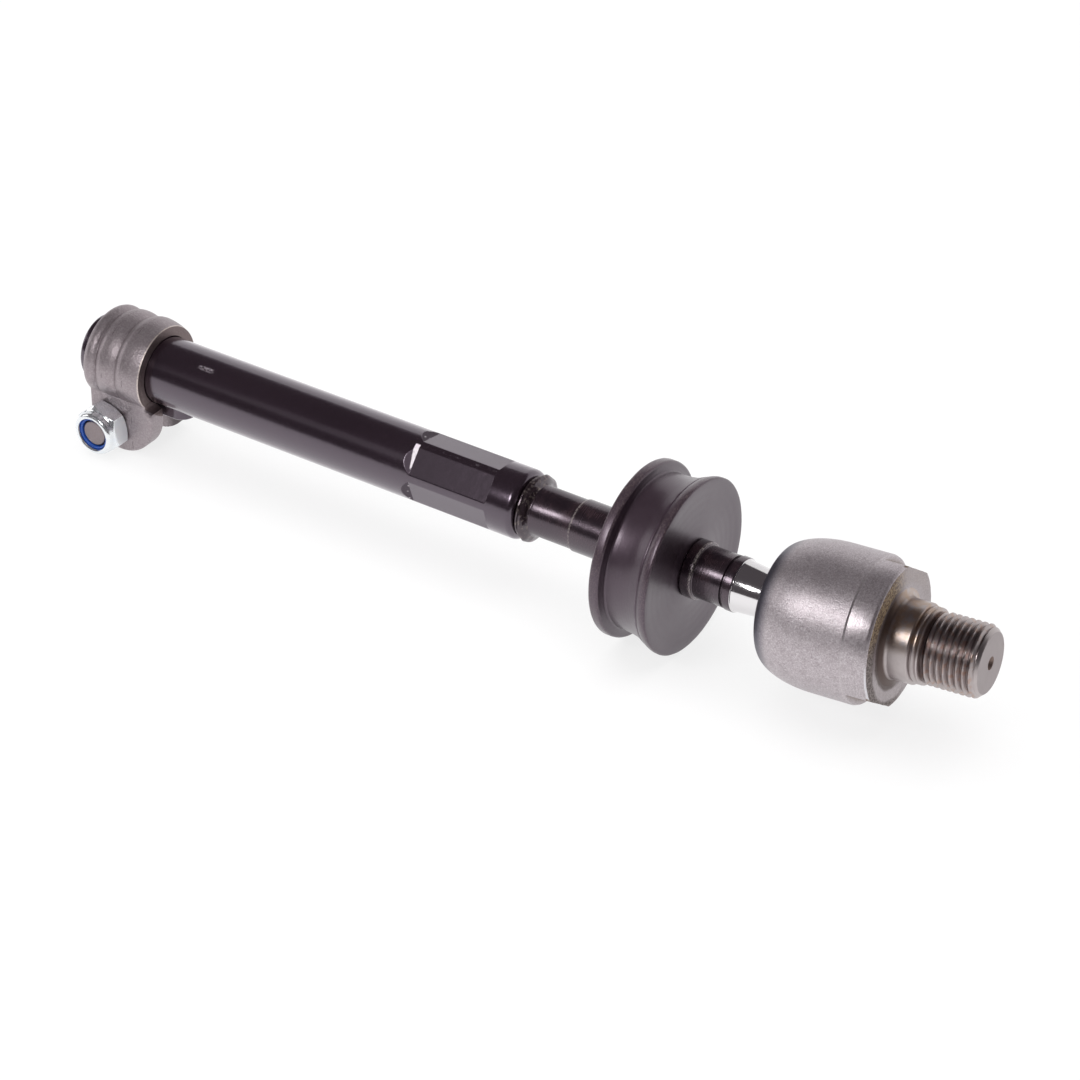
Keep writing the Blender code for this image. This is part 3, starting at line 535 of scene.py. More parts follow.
def stud_steel():
    """Machined steel of the stud, with lathe rings and a painted gold-brown highlight on its top near
    the flange.
    """
    finish = Finish("stud_steel", (0.4, 0.36, 0.355), 0.24, 1.0)
    moved, (along, across, up) = finish.along(HOUSING_PLACE)
    rings = finish.grain(0.28, 3.0, (1.0, 0.03, 0.03), place=moved)
    cloud = finish.grain(2.5, 4.0)
    fine = finish.grain(0.4, 3.0)
    radius = finish.radius(across, up)
    threaded = along.between(THREAD_START - 0.4, THREAD_START + 0.2) \
        * (1.0 - along.between(THREAD_END - 1.4, THREAD_END - 0.9))
    end_face = along.between(THREAD_END - 0.06, THREAD_END - 0.02)
    hole = radius.between(1.95, 1.7) * along.between(THREAD_END - 6.0, THREAD_END - 5.0)
    colour = finish.mix(cloud, rgb(0.4, 0.35, 0.35), rgb(0.56, 0.51, 0.505))
    colour = finish.mix(threaded * 0.3, colour, rgb(0.36, 0.31, 0.305))
    # Painted highlight: a gold-brown patch on the stud's top, near the flange.
    golden_top_highlight = (1.0 - along.between(31.0, 34.5)) * cloud.between(0.3, 0.65) * up.between(1.0, 8.0)
    colour = finish.mix(golden_top_highlight * 0.6, colour, rgb(0.4, 0.25, 0.14))
    copper = threaded * finish.grain(1.6, 3.0).between(0.5, 0.62) * 0.45
    colour = finish.mix(copper, colour, rgb(0.42, 0.24, 0.16))
    colour = finish.mix(end_face * 0.5, colour, rgb(0.3, 0.262, 0.27))
    colour = finish.mix(hole * 0.7, colour, rgb(0.26, 0.17, 0.13))
    # Painted shade: the corner at the stud's foot, on the near side, is darkened to brown.
    corner = (1.0 - along.between(HOUSING_BASE + 0.6, HOUSING_BASE + 1.3)) * across.between(5.0, -5.0)
    colour = finish.mix(corner * 0.85, colour, rgb(0.09, 0.055, 0.045))
    # Painted shade: the thread's roots are darkened.
    root = threaded * radius.between(THREAD_RADIUS - 0.7, THREAD_RADIUS - 0.95)
    finish.set("Base Color", finish.mix(root * 0.55, colour, rgb(0.09, 0.06, 0.055)))
    finish.set("Roughness", 0.26 + 0.1 * rings + 0.08 * cloud + 0.14 * end_face + 0.3 * hole
               + 0.2 * corner)
    finish.bump(rings * 0.6 + fine * 0.25, 0.03)
    return finish.material


def bearing_plastic():
    """Smooth bearing plastic of the hidden shell."""
    finish = Finish("bearing_shell", (0.75, 0.73, 0.68), 0.35, 0.0)
    cloud = finish.grain(3.0, 3.0)
    finish.set("Base Color", finish.mix(cloud, rgb(0.7, 0.68, 0.62), rgb(0.8, 0.78, 0.73)))
    finish.set("Roughness", 0.3 + 0.1 * cloud)
    return finish.material


def pad_rubber():
    """Smooth elastomer of the hidden pad."""
    finish = Finish("preload_elastomer", (0.06, 0.06, 0.06), 0.6, 0.0)
    cloud = finish.grain(2.0, 3.0)
    finish.set("Base Color", finish.mix(cloud, rgb(0.045, 0.045, 0.045), rgb(0.08, 0.08, 0.08)))
    finish.set("Roughness", 0.5 + 0.15 * cloud)
    return finish.material


# Shapes

def arc(centre_x, centre_radius, radius, start, end, steps):
    """Points of an arc in the (x, radius) plane; angles are measured from +X."""
    points = []
    for step in range(steps + 1):
        angle = start + (end - start) * step / steps
        points.append((centre_x + radius * math.cos(angle),
                       centre_radius + radius * math.sin(angle)))
    return points


def spaced(outline, longest):
    """Add points to an outline so that no stretch is longer than this."""
    points = [outline[0]]
    for (x0, r0), (x1, r1) in zip(outline, outline[1:]):
        pieces = max(1, math.ceil(math.hypot(x1 - x0, r1 - r0) / longest))
        for piece in range(1, pieces + 1):
            share = piece / pieces
            points.append((x0 + (x1 - x0) * share, r0 + (r1 - r0) * share))
    return points


def spun(outline, segments, reshape=None, start=0.0, ring=False):
    """Turn an outline of (x, radius) in millimetres about X.

    With reshape, each corner's x and radius are worked out again from its x, its radius and its
    angle from +Z towards +Y. The result is in metres.
    """
    bm = bmesh.new()
    corners = [bm.verts.new((x, radius * math.sin(start), radius * math.cos(start)))
               for x, radius in outline]
    edges = [bm.edges.new(pair) for pair in zip(corners, corners[1:])]
    if ring:
        edges.append(bm.edges.new((corners[-1], corners[0])))
    bmesh.ops.spin(bm, geom=corners + edges, cent=(0.0, 0.0, 0.0), axis=(1.0, 0.0, 0.0),
                   angle=TURN, steps=segments, use_merge=True)
    bmesh.ops.remove_doubles(bm, verts=bm.verts, dist=0.0005)
    if reshape is not None:
        for corner in bm.verts:
            radius = math.hypot(corner.co.y, corner.co.z)
            if radius > 0.01:
                angle = math.atan2(corner.co.y, corner.co.z)
                x, radius = reshape(corner.co.x, radius, angle)
                corner.co = (x, radius * math.sin(angle), radius * math.cos(angle))
    bmesh.ops.recalc_face_normals(bm, faces=bm.faces)
    bmesh.ops.scale(bm, vec=(MM, MM, MM), verts=bm.verts)
    return bm


def pressed(outline, axis, start, end):
    """Push a flat outline in millimetres along Y or Z, and give it in metres."""
    bm = bmesh.new()
    if axis == "Y":
        corners = [bm.verts.new((x, start, z)) for x, z in outline]
        step = (0.0, end - start, 0.0)
    else:
        corners = [bm.verts.new((x, y, start)) for x, y in outline]
        step = (0.0, 0.0, end - start)
    grown = bmesh.ops.extrude_face_region(bm, geom=[bm.faces.new(corners)])
    moved = [part for part in grown["geom"] if isinstance(part, bmesh.types.BMVert)]
    bmesh.ops.translate(bm, vec=step, verts=moved)
    bmesh.ops.recalc_face_normals(bm, faces=bm.faces)
    bmesh.ops.scale(bm, vec=(MM, MM, MM), verts=bm.verts)
    return bm


def block(low, high):
    """A box between two corners in millimetres."""
    bm = bmesh.new()
    bmesh.ops.create_cube(bm, size=1.0)
    size = [(top - bottom) * MM for bottom, top in zip(low, high)]
    middle = [(top + bottom) / 2.0 * MM for bottom, top in zip(low, high)]
    bmesh.ops.scale(bm, vec=size, verts=bm.verts)
    bmesh.ops.translate(bm, vec=middle, verts=bm.verts)
    return bm


def make_piece(name, bm, place, *finishes):
    """Turn a bmesh into an object with its place in its mesh."""
    bm.transform(place)
    mesh = bpy.data.meshes.new(name)
    bm.to_mesh(mesh)
    bm.free()
    item = bpy.data.objects.new(name, mesh)
    bpy.context.collection.objects.link(item)
    for finish in finishes:
        mesh.materials.append(finish)
    return item


def settle(item):
    """Keep what an object's modifiers make as its own mesh."""
    evaluated = item.evaluated_get(bpy.context.evaluated_depsgraph_get())
    mesh = bpy.data.meshes.new_from_object(evaluated)
    old = item.data
    item.modifiers.clear()
    item.data = mesh
    bpy.data.meshes.remove(old)


def combine(item, bm, place, operation):
    """Join a shape to a piece, or cut it out."""
    tool = make_piece(item.name + "_tool", bm, place)
    step = item.modifiers.new("step", "BOOLEAN")
    step.operation = operation
    step.solver = "EXACT"
    step.object = tool
    settle(item)
    bpy.data.objects.remove(tool)


def soften(item, angle=32.0):
    """Shade a piece smooth, with sharp lines where it turns by more than this angle."""
    item.data.shade_smooth()
    item.data.set_sharp_from_angle(angle=math.radians(angle))


def finish_piece(item, body, node, angle=32.0):
    """Shade a piece, hang it on its body's empty and hide the solid that it stands in for."""
    soften(item, angle)
    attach(item, body)
    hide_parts(node)


def paint_where(item, place, test, index):
    """Give the faces whose middle passes a test in the local frame another finish."""
    back = place.inverted()
    for polygon in item.data.polygons:
        middle = back @ polygon.center / MM
        if test(middle.x, math.hypot(middle.y, middle.z)):
            polygon.material_index = index


def smooth_share(value, low, high):
    """0 at low, 1 at high, and a soft step between them."""
    share = min(1.0, max(0.0, (value - low) / (high - low)))
    return share * share * (3.0 - 2.0 * share)


def hex_radius(apothem, angle, roll):
    """Distance from the axis to a hexagon's side at this angle."""
    sector = (angle - roll + TURN / 12.0) % (TURN / 6.0) - TURN / 12.0
    return apothem / math.cos(sector)


def lumps(x, angle, size, seed):
    """Uneven swelling round the axis, from about -1 to 1."""
    point = Vector((x / size, 9.0 / size * math.sin(angle), 9.0 / size * math.cos(angle)))
    return noise.noise(point + Vector((seed, 0.0, 0.0)))


def thread_rise(x, angle, pitch):
    """Height of a right-handed V thread, from 0 in its root to 1 on its crest."""
    share = (x / pitch + angle / TURN) % 1.0
    slope = abs(2.0 * share - 1.0)
    return min(1.0, max(0.0, (slope - 0.12) / 0.76))


def build_tube(paint):
    """The painted tube with its flats, its lug and its slit."""
    edge = 0.9
    outline = [(TUBE_BORE_END + 3.7, 0.0), (TUBE_BORE_END, TUBE_BORE),
               (TUBE_LEFT + edge, TUBE_BORE), (TUBE_LEFT, TUBE_BORE + edge),
               (TUBE_LEFT, TUBE_RADIUS - edge)]
    outline += arc(TUBE_LEFT + edge, TUBE_RADIUS - edge, edge, math.pi, QUARTER, 5)
    outline += [(x, TUBE_RADIUS) for x in (-210.0, -180.0, -150.0, -128.0)]
    outline += spaced([(HEX_LEFT - HEX_LEFT_RUN - 0.3, TUBE_RADIUS),
                       (HEX_LEFT + 0.2, TUBE_RADIUS)], 0.2)
    outline += spaced([(HEX_RIGHT - 0.2, TUBE_RADIUS),
                       (HEX_RIGHT + HEX_RIGHT_RUN + 0.1, TUBE_RADIUS)], 0.1)
    shoulder = 2.0
    outline += arc(TUBE_RIGHT - shoulder, TUBE_RADIUS - shoulder, shoulder, QUARTER, 0.0, 8)
    socket_left = SPIGOT_LEFT - SEAT_GAP
    socket_radius = SPIGOT_RADIUS + SEAT_GAP
    outline += [(TUBE_RIGHT, socket_radius), (socket_left, socket_radius), (socket_left, 0.0)]

    def flats(x, radius, angle):
        if radius < TUBE_RADIUS - 0.01:
            return x, radius
        rise = max((HEX_LEFT - x) / HEX_LEFT_RUN, (x - HEX_RIGHT) / HEX_RIGHT_RUN, 0.0)
        if rise > 1.0:
            return x, radius
        apothem = HEX_FLATS / 2.0 + rise * (TUBE_RADIUS - HEX_FLATS / 2.0)
        return x, min(radius, hex_radius(apothem, angle, HEX_ROLL))

    tube = make_piece("painted_tube", spun(outline, 240, flats), ROD_PLACE, paint)
    half = LUG_WIDTH / 2.0
    lug = [(LUG_LEFT, half), (LUG_LEFT, -half)]
    lug += arc(LUG_RIGHT - half, 0.0, half, -QUARTER, QUARTER, 25)
    lug_shape = pressed(lug, "Z", -LUG_DROP, -7.7)
    under = [edge_line for edge_line in lug_shape.edges
             if all(corner.co.z < -12.0 * MM for corner in edge_line.verts)]
    bmesh.ops.bevel(lug_shape, geom=under, offset=0.8 * MM, offset_type="OFFSET", segments=3,
                    profile=0.5, affect="EDGES", material=-1)
    combine(tube, lug_shape, ROD_PLACE, "UNION")
    slit = block((TUBE_LEFT - 1.0, -SLIT_WIDTH / 2.0, -20.0),
                 (TUBE_LEFT + SLIT_LENGTH, SLIT_WIDTH / 2.0, 0.0))
    combine(tube, slit, ROD_PLACE, "DIFFERENCE")
    finish_piece(tube, "rod", "adjuster_tube", 28.0)


def build_rod(steel, bead, bright):
    """The turned rod with its bead, its collar, its polished neck and the ball."""
    edge = 0.35
    bead_left = TUBE_RIGHT + SEAT_GAP
    bead_right = bead_left + BEAD_LENGTH
    outline = [(SPIGOT_LEFT, 0.0), (SPIGOT_LEFT, SPIGOT_RADIUS - 0.4),
               (SPIGOT_LEFT + 0.4, SPIGOT_RADIUS), (bead_left, SPIGOT_RADIUS), (bead_left, 8.1)]
    outline += spaced([(bead_left + 0.1, 8.5), (bead_left + 0.5, 9.0), (bead_left + 0.9, 8.9),
                       (bead_left + 1.05, 8.6), (bead_left + 1.3, 9.2), (bead_left + 1.8, 9.6),
                       (bead_left + 2.3, 9.4), (bead_left + 2.8, 8.7), (bead_left + 3.2, 7.7),
                       (bead_right, 7.35)], 0.25)
    outline += [(bead_right + 0.25, 7.3), (bead_right + 0.6, 7.1), (ROD_STEP - 0.25, 7.1),
                (ROD_STEP, ROD_RADIUS), (COLLAR_LEFT, ROD_RADIUS),
                (COLLAR_LEFT, COLLAR_RADIUS - edge)]
    outline += arc(COLLAR_LEFT + edge, COLLAR_RADIUS - edge, edge, math.pi, QUARTER, 4)
    outline += arc(COLLAR_RIGHT - edge, COLLAR_RADIUS - edge, edge, QUARTER, 0.0, 4)
    outline += [(COLLAR_RIGHT, 7.5), (COLLAR_RIGHT + 0.2, 7.35), (-26.2, 7.35), (-26.1, 6.75),
                (-25.5, 6.75), (-25.4, 7.2), (-25.1, 7.6), (NECK_LEFT, 7.6)]
    outline += arc(NECK_LEFT, 7.0, 0.6, QUARTER, 0.35, 4)
    outline += [(-22.3, 7.1), (-18.0, 6.72), (-12.2, 6.0)]
    neck_angle = math.pi - math.asin(5.8 / BALL_RADIUS)
    outline += arc(0.0, 0.0, BALL_RADIUS, neck_angle, 0.0, 48)
    outline[-1] = (BALL_RADIUS, 0.0)

    def uneven(x, radius, angle):
        if radius > 7.4 and bead_left + 0.2 < x < bead_right:
            return x + 0.12 * lumps(x, angle, 3.0, 3.0), radius + 0.22 * lumps(x, angle, 2.5, 7.0)
        return x, radius

    rod = make_piece("turned_rod", spun(outline, 144, uneven), ROD_PLACE, steel, bead, bright)
    paint_where(rod, ROD_PLACE, lambda x, r: bead_left < x < bead_right and r > 7.4, 1)
    paint_where(rod, ROD_PLACE, lambda x, r: x > NECK_LEFT + 0.3, 2)
    finish_piece(rod, "rod", "ball_stud")


def build_grommet(finish):
    """The rubber spool, with a bead beside each flange."""
    left = GROMMET_LEFT
    right = GROMMET_RIGHT
    outline = [(left, GROMMET_BORE), (left, 9.0), (left + 0.15, 9.6), (left + 0.15, 23.4)]
    outline += arc(left + 1.0, 24.15, 0.85, math.pi, QUARTER, 5)
    outline += arc(left + 2.5, 24.2, 0.8, QUARTER, 0.0, 5)
    outline += [(left + 3.45, 23.3), (left + 3.7, 22.6)]
    outline += arc(left + 4.35, 22.75, 0.65, math.pi, 1.5 * math.pi, 4)
    outline += [(left + 6.0, 22.15), (left + 9.0, 22.35), (left + 11.0, 22.7),
                (left + 12.6, 23.25), (left + 13.8, 23.85), (left + 14.4, 24.15)]
    outline += [(left + 14.6, 24.1), (left + 14.8, 24.3), (left + 15.6, 24.7), (left + 16.4, 24.95)]
    outline += arc(right - 0.5, 24.5, 0.5, QUARTER, 0.0, 4)
    outline += [(right - 0.05, 23.0), (right - 0.3, 20.0), (right - 0.35, 12.0),
                (right - 0.1, 9.5), (right, 9.0), (right, GROMMET_BORE)]

    def trimmed(x, radius, angle):
        if radius > 24.0:
            return x, min(GROMMET_RADIUS, radius - 0.05 + 0.06 * lumps(x, angle, 1.2, 1.0))
        return x, radius

    spool = make_piece("rubber_spool", spun(outline, 192, trimmed, ring=True), ROD_PLACE, finish)
    finish_piece(spool, "grommet", "boot_grommet", 38.0)


def ear_outline():
    """Side view of an ear, counted from the ring's left face."""
    outline = [(0.0, EAR_TOP)]
    outline += arc(4.0, EAR_BOTTOM + 4.0, 4.0, math.pi, math.pi + QUARTER, 10)
    outline += arc(EAR_LENGTH - 12.0, EAR_BOTTOM + 12.0, 12.0, math.pi + QUARTER, TURN, 20)
    outline += arc(EAR_LENGTH - 0.8, EAR_TOE_TOP - 0.8, 0.8, 0.0, QUARTER, 4)
    outline += arc(CLAMP_WIDTH + 2.2, EAR_TOE_TOP + 2.2, 2.2, 1.5 * math.pi, math.pi, 6)
    outline.append((CLAMP_WIDTH - 0.6, EAR_TOP))
    return outline


def build_clamp(finish):
    """The forged clamp: ribbed ring, two ears, soft edges everywhere."""
    outline = [(0.0, 0.0), (0.0, 5.0)]
    outline += spaced([(x, CLAMP_RADIUS + rise) for x, rise in RIBS], 0.3)
    outline += [(CLAMP_WIDTH + 0.4, 5.0), (CLAMP_WIDTH + 0.4, 0.0)]

    def faded(x, radius, angle):
        height = radius * math.cos(angle)
        x = min(x, CLAMP_WIDTH + 0.4 * smooth_share(height, -7.0, -5.0))
        if radius <= CLAMP_RADIUS:
            return x, radius
        share = smooth_share(height, -8.5, -1.5)
        return x, CLAMP_RADIUS + (radius - CLAMP_RADIUS) * share

    clamp = make_piece("forged_clamp", spun(outline, 180, faded), CLAMP_PLACE, finish)
    ears = pressed(ear_outline(), "Y", -EAR_HALF_THICKNESS, EAR_HALF_THICKNESS)
    rims = [line for line in ears.edges
            if abs(line.verts[0].co.y - line.verts[1].co.y) < 1e-6]
    bmesh.ops.bevel(ears, geom=rims, offset=0.8 * MM, offset_type="OFFSET", segments=3,
                    profile=0.5, affect="EDGES", material=-1)
    combine(clamp, ears, CLAMP_PLACE, "UNION")
    gap = block((-1.0, -EAR_GAP / 2.0, EAR_BOTTOM - 1.0),
                (EAR_LENGTH + 1.0, EAR_GAP / 2.0, 0.0))
    combine(clamp, gap, CLAMP_PLACE, "DIFFERENCE")
    remesh = clamp.modifiers.new("forging skin", "REMESH")
    remesh.mode = "VOXEL"
    remesh.voxel_size = FORGING_GRID * MM
    relax = clamp.modifiers.new("worn die", "SMOOTH")
    relax.factor = 0.5
    relax.iterations = 2
    settle(clamp)
    bore = spun([(-1.0, 0.0), (-1.0, TUBE_RADIUS + 0.25), (EAR_LENGTH + 1.0, TUBE_RADIUS + 0.25),
                 (EAR_LENGTH + 1.0, 0.0)], 120)
    combine(clamp, bore, CLAMP_PLACE, "DIFFERENCE")
    sawn = block((CLAMP_WIDTH, -20.0, -7.0), (CLAMP_WIDTH + 2.0, 20.0, 20.0))
    combine(clamp, sawn, CLAMP_PLACE, "DIFFERENCE")
    hole = spun([(-13.0, 0.0), (-13.0, 4.3), (13.0, 4.3), (13.0, 0.0)], 64)
    combine(clamp, hole, BOLT_AXIS, "DIFFERENCE")
    clamp.data.materials.clear()
    clamp.data.materials.append(finish)
    finish_piece(clamp, "rod", "clamp_ring", 40.0)


def build_bolt(steel):
    """The clamp's bolt, with its head on the far side and a threaded end in the nut."""
    seat = EAR_HALF_THICKNESS + SEAT_GAP
    head_end = -seat - HEAD_HEIGHT
    tip = seat + NUT_HEIGHT - 1.1
    outline = [(head_end, 0.0), (head_end, 5.6)]
    outline += spaced([(head_end, 6.2), (head_end + 0.9, 7.9), (-seat - 0.3, 7.9),
                       (-seat, 7.0)], 0.3)
    outline += [(-seat, 4.35), (-seat + 0.3, BOLT_RADIUS)]
    outline += spaced([(-seat + 3.0, BOLT_RADIUS), (tip - 0.4, BOLT_RADIUS)], 0.16)
    outline += [(tip - 0.1, BOLT_RADIUS - 0.3), (tip, BOLT_RADIUS - 0.45), (tip, 0.0)]

    def cut(x, radius, angle):
        if x < -seat + 0.01 and radius > 5.5:
            return x, min(radius, hex_radius(NUT_FLATS / 2.0, angle, HEAD_ROLL + TURN / 12.0))
        if x > 3.0 and radius > BOLT_RADIUS - 0.01:
            return x, BOLT_RADIUS - 0.6 + 0.6 * thread_rise(x, angle, BOLT_PITCH)
        return x, radius

    bolt = make_piece("clamp_screw", spun(outline, 96, cut, HEAD_ROLL), BOLT_AXIS, steel)
    finish_piece(bolt, "rod", "clamp_bolt")


def build_nut(plate):
    """The locking nut, with its collar rolled over the nylon ring."""
    seat = EAR_HALF_THICKNESS + SEAT_GAP
    hex_end = seat + NUT_HEX_HEIGHT
    end = seat + NUT_HEIGHT
    outline = [(seat, 4.25), (seat, 6.1)]
    outline += spaced([(seat, 6.9), (seat + 0.65, 7.9), (hex_end - 0.95, 7.9),
                       (hex_end - 0.1, 6.8)], 0.25)
    outline += [(hex_end + 0.1, 6.62), (hex_end + 0.5, 6.52)]
    outline += arc(end - 1.1, NUT_COLLAR - 1.1, 1.1, QUARTER, 0.15, 8)
    outline += [(end, 5.3), (end - 0.1, 5.1), (end - 0.5, 5.0), (end - 0.5, 5.35),
                (end - 2.9, 5.35), (end - 2.9, 4.25)]

    def cut(x, radius, angle):
        if radius > 6.85 and x < hex_end:
            return x, min(radius, hex_radius(NUT_FLATS / 2.0, angle, NUT_ROLL + TURN / 12.0))
        return x, radius

    nut = make_piece("locking_nut", spun(outline, 96, cut, NUT_ROLL, ring=True), BOLT_AXIS, plate)
    finish_piece(nut, "rod", "clamp_nut", 24.0)


def build_nylon_ring(finish):
    """The nylon ring in the nut, pressed in by the bolt."""
    end = EAR_HALF_THICKNESS + SEAT_GAP + NUT_HEIGHT - 0.75
    outline = [(end - 1.9, 4.25), (end - 1.9, 5.1), (end, 5.1)]
    outline += arc(end - 0.35, 4.6, 0.35, QUARTER, -QUARTER, 6)
    bm = spun(outline, 96, ring=True)
    ring = make_piece("nylon_ring", bm, BOLT_AXIS, finish)
    finish_piece(ring, "rod", "nut_insert", 60.0)


def build_housing(steel, stud):
    """The cup with its rolled rim, its flange flats and its threaded stud."""
    cavity = 14.6
    pocket = 9.25
    base = HOUSING_BASE
    outline = [(17.15, 0.0), (17.15, pocket)]
    outline += arc(0.0, 0.0, cavity, math.asin(pocket / cavity), math.pi - math.radians(55.5), 40)
    outline += [(-11.6, 12.85)]
    outline += arc(-11.2, 13.4, 0.6, math.pi + 0.9, math.pi - 0.6, 5)
    for step in range(1, 41):
        angle = QUARTER * step / 40.0
        outline.append((4.0 - 15.6 * math.cos(angle), 14.0 + 6.2 * math.sin(angle)))
    outline += [(HOUSING_WALL_START - 0.2, 20.19), (HOUSING_WALL_START, 20.05),
                (HOUSING_WALL_START + 0.25, HOUSING_WALL)]
    flat_start = base - HOUSING_FLAT_LENGTH
    outline += [(flat_start - 0.1, HOUSING_WALL), (flat_start, HOUSING_WALL),
                (flat_start + 0.25, HOUSING_WALL), (flat_start + 0.9, HOUSING_WALL),
                (base - 0.9, HOUSING_WALL)]
    outline += spaced([(base - 0.75, HOUSING_WALL - 0.03), (base - 0.2, HOUSING_WALL - 0.4),
                       (base, HOUSING_WALL - 0.8)], 0.2)
    outline += [(base, 17.4), (base, 14.0), (base, 13.1), (base + 0.1, 12.6), (base + 0.3, 11.9),
                (base + 0.7, 11.3), (base + 1.3, 10.95), (base + 1.8, 10.9)]
    outline += [(base + x, radius) for x, radius in (
        (6.7, 10.9), (7.0, 10.75), (7.2, 10.4), (7.35, 9.8), (7.6, 9.6), (7.8, 9.9), (8.0, 10.3),
        (8.4, 10.35), (8.6, 10.1), (8.8, 9.9), (9.0, 10.15), (9.3, 10.35), (9.7, 10.25),
        (9.9, 9.6), (10.05, 8.9))]
    outline += spaced([(THREAD_START - 0.3, 8.9), (THREAD_START + 0.1, THREAD_RADIUS),
                       (THREAD_END - 1.8, THREAD_RADIUS), (THREAD_END - 0.15, 8.4)], 0.14)
    outline += [(THREAD_END, 8.2), (THREAD_END, 4.0), (THREAD_END, 1.75),
                (THREAD_END - 1.4, 0.85), (THREAD_END - 3.2, 0.8), (THREAD_END - 3.7, 0.0)]

    def cut(x, radius, angle):
        if flat_start <= x <= base + 0.01 and radius > 14.5:
            depth = smooth_share(x, flat_start - 0.05, flat_start + 0.3)
            for roll in (HOUSING_FLAT_ROLL, HOUSING_FLAT_ROLL + math.pi):
                facing = math.cos(angle - roll)
                if facing > 0.1:
                    limit = min(radius, HOUSING_FLAT / facing)
                    radius += (limit - radius) * depth
            if x > base - 1.1:
                radius -= 0.14 * (0.5 + lumps(x, angle, 0.8, 5.0)) * (x - base + 1.1)
            return x, radius
        if x > THREAD_START and radius > 8.45:
            fade_in = smooth_share(x, THREAD_START, THREAD_START + 1.2)
            root = THREAD_RADIUS - THREAD_DEPTH
            ridge = root + THREAD_DEPTH * thread_rise(x, angle, THREAD_PITCH)
            ridge = root + (ridge - root) * (0.25 + 0.75 * fade_in)
            return x, min(radius, ridge)
        return x, radius

    def machined(x, radius):
        return x > base + 0.01 or (x > base - 0.01 and radius < 13.0)

    housing = make_piece("blasted_housing", spun(outline, 288, cut), HOUSING_PLACE, steel, stud)
    paint_where(housing, HOUSING_PLACE, machined, 1)
    finish_piece(housing, "housing", "joint_housing", 26.0)


# Studio

def soft_lamp(name, place, aim, size, radiance, in_mirror=True):
    """An area lamp of a given brightness that looks at a point, in metres."""
    lamp = bpy.data.lights.new(name, "AREA")
    lamp.shape = "RECTANGLE"
    lamp.size, lamp.size_y = size
    lamp.energy = radiance * math.pi * size[0] * size[1]
    item = bpy.data.objects.new(name, lamp)
    item.location = place
    item.rotation_euler = (Vector(aim) - Vector(place)).to_track_quat("-Z", "Y").to_euler()
    item.visible_glossy = in_mirror
    bpy.context.collection.objects.link(item)


def studio_world():
    """A dim, even room, darker still in mirrors."""
    world = bpy.data.worlds.new("studio")
    world.use_nodes = True
    tree = world.node_tree
    background = tree.nodes["Background"]
    background.inputs["Color"].default_value = (1.0, 0.88, 0.96, 1.0)
    rays = tree.nodes.new("ShaderNodeLightPath")
    level = tree.nodes.new("ShaderNodeMapRange")
    level.inputs["To Min"].default_value = ROOM_LEVEL
    level.inputs["To Max"].default_value = ROOM_IN_MIRROR
    tree.links.new(rays.outputs["Is Glossy Ray"], level.inputs["Value"])
    tree.links.new(level.outputs[0], background.inputs["Strength"])
    bpy.context.scene.world = world


def studio_sweep():
    """A white table that curves up into a wall behind."""
    profile = [(-3.0, 0.0), (1.2, 0.0)] + arc(1.2, 0.4, 0.4, -QUARTER, 0.0, 12)[1:] + [(1.6, 1.5)]
    bm = bmesh.new()
    corners = [bm.verts.new((-3.5, y, z)) for y, z in profile]
    edges = [bm.edges.new(pair) for pair in zip(corners, corners[1:])]
    grown = bmesh.ops.extrude_edge_only(bm, edges=edges)
    moved = [part for part in grown["geom"] if isinstance(part, bmesh.types.BMVert)]
    bmesh.ops.translate(bm, vec=(7.0, 0.0, 0.0), verts=moved)
    bmesh.ops.recalc_face_normals(bm, faces=bm.faces)
    finish = Finish("white_sweep", (0.93, 0.93, 0.93), 0.7, 0.0, Specular_IOR_Level=0.1)
    sweep = make_piece("white_sweep", bm, Matrix(), finish.material)
    sweep.data.shade_smooth()
    tree = finish.tree
    rays = tree.nodes.new("ShaderNodeLightPath")
    seen = Value(finish, rays.outputs["Is Camera Ray"])
    for other in ("Is Glossy Ray", "Is Transmission Ray"):
        seen = seen.maths("MAXIMUM", seen, Value(finish, rays.outputs[other]))
    white = tree.nodes.new("ShaderNodeEmission")
    blend = tree.nodes.new("ShaderNodeMixShader")
    tree.links.new((seen * SWEEP_WHITENESS).socket, blend.inputs[0])
    tree.links.new(finish.shader.outputs[0], blend.inputs[1])
    tree.links.new(white.outputs[0], blend.inputs[2])
    tree.links.new(blend.outputs[0], tree.nodes["Material Output"].inputs["Surface"])


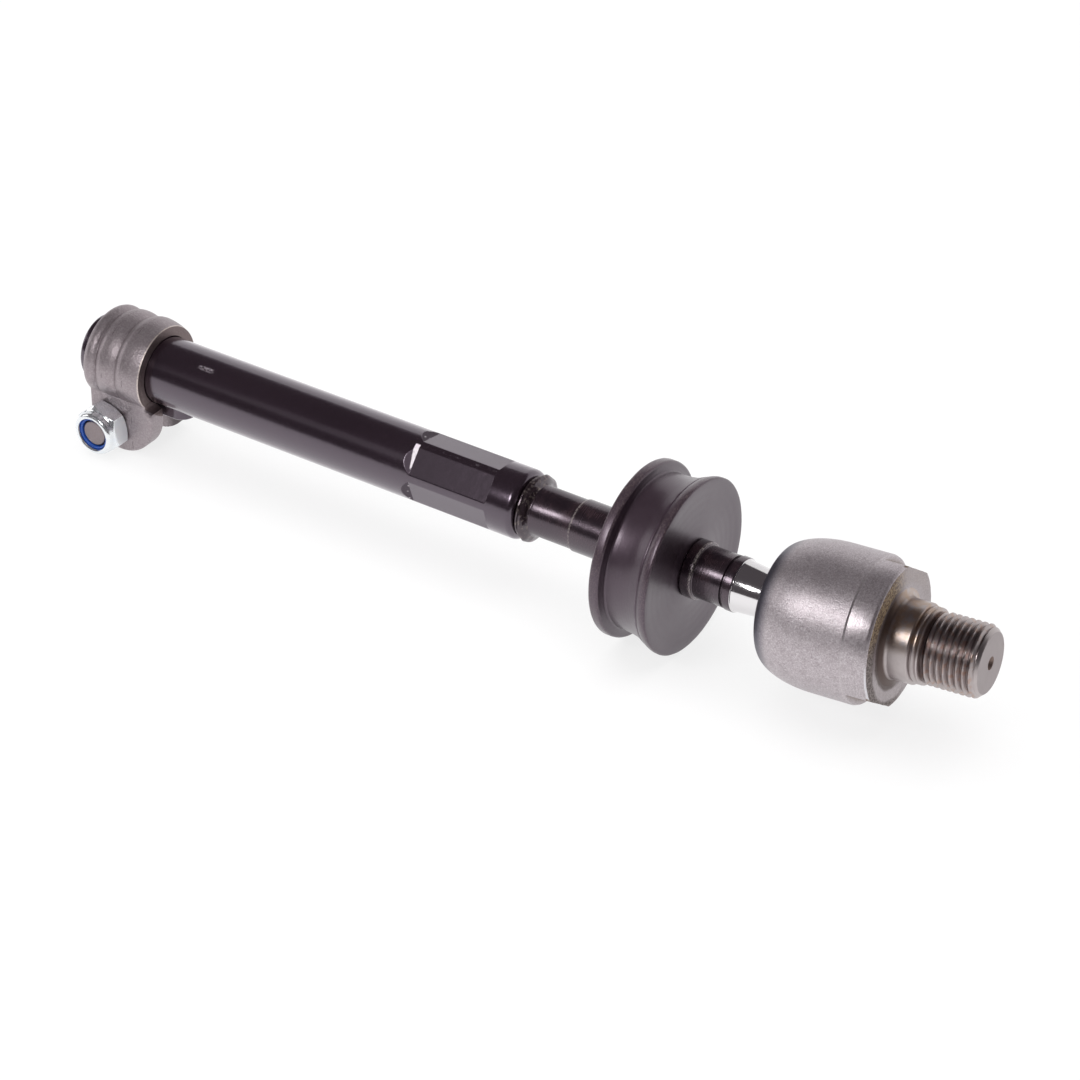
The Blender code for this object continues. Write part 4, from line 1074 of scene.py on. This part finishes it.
def studio_camera():
    """The photograph's view: 33.2 degrees round, 34.2 degrees above and rolled by half a degree."""
    across = math.cos(CAMERA_ELEVATION)
    forward = Vector((-math.sin(CAMERA_AZIMUTH) * across, math.cos(CAMERA_AZIMUTH) * across,
                      -math.sin(CAMERA_ELEVATION)))
    level = Vector((math.cos(CAMERA_AZIMUTH), math.sin(CAMERA_AZIMUTH), 0.0))
    roll = Matrix.Rotation(CAMERA_ROLL, 3, forward)
    right = roll @ level
    up = roll @ level.cross(forward)
    distance = CAMERA_DISTANCE * MM
    pixel = distance / FOCAL_LENGTH
    place = CAMERA_AIM - forward * distance - right * SHIFT_RIGHT * pixel - up * SHIFT_UP * pixel
    data = bpy.data.cameras.new("camera")
    data.sensor_width = SENSOR_WIDTH
    data.lens = FOCAL_LENGTH / PICTURE_WIDTH * SENSOR_WIDTH
    data.clip_start = 0.05
    data.clip_end = 20.0
    camera = bpy.data.objects.new("camera", data)
    turn = Matrix((right, up, -forward)).transposed()
    camera.matrix_world = Matrix.Translation(place) @ turn.to_4x4()
    bpy.context.collection.objects.link(camera)
    bpy.context.scene.camera = camera


build_tube(black_paint())
build_rod(black_steel(), bead_steel(), bright_neck())
build_grommet(rubber())
build_clamp(forged_steel())
build_bolt(bolt_steel())
build_nut(zinc())
build_nylon_ring(nylon())
build_housing(housing_steel(), stud_steel())

for node, finish in (("ball_seat", bearing_plastic()), ("preload_pad", pad_rubber())):
    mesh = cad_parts[node].data
    mesh.materials.clear()
    mesh.materials.append(finish)

studio_camera()
studio_world()
studio_sweep()
soft_lamp("ceiling light", (-0.1, 0.15, 1.1), (0.0, 0.0, 0.0), (1.8, 1.4), 2.7, False)
soft_lamp("key light", (-0.04, -0.277, 0.25), (0.1, 0.0, 0.025), (0.12, 0.08), 13.0)
soft_lamp("front light", (-0.46, -0.7, 0.58), (0.0, 0.0, 0.02), (0.36, 0.3), 0.25)
soft_lamp("side light", (-0.9, -0.27, 0.3), (-0.05, 0.0, 0.02), (0.4, 0.4), 1.6)
bpy.context.scene.view_settings.view_transform = "Standard"
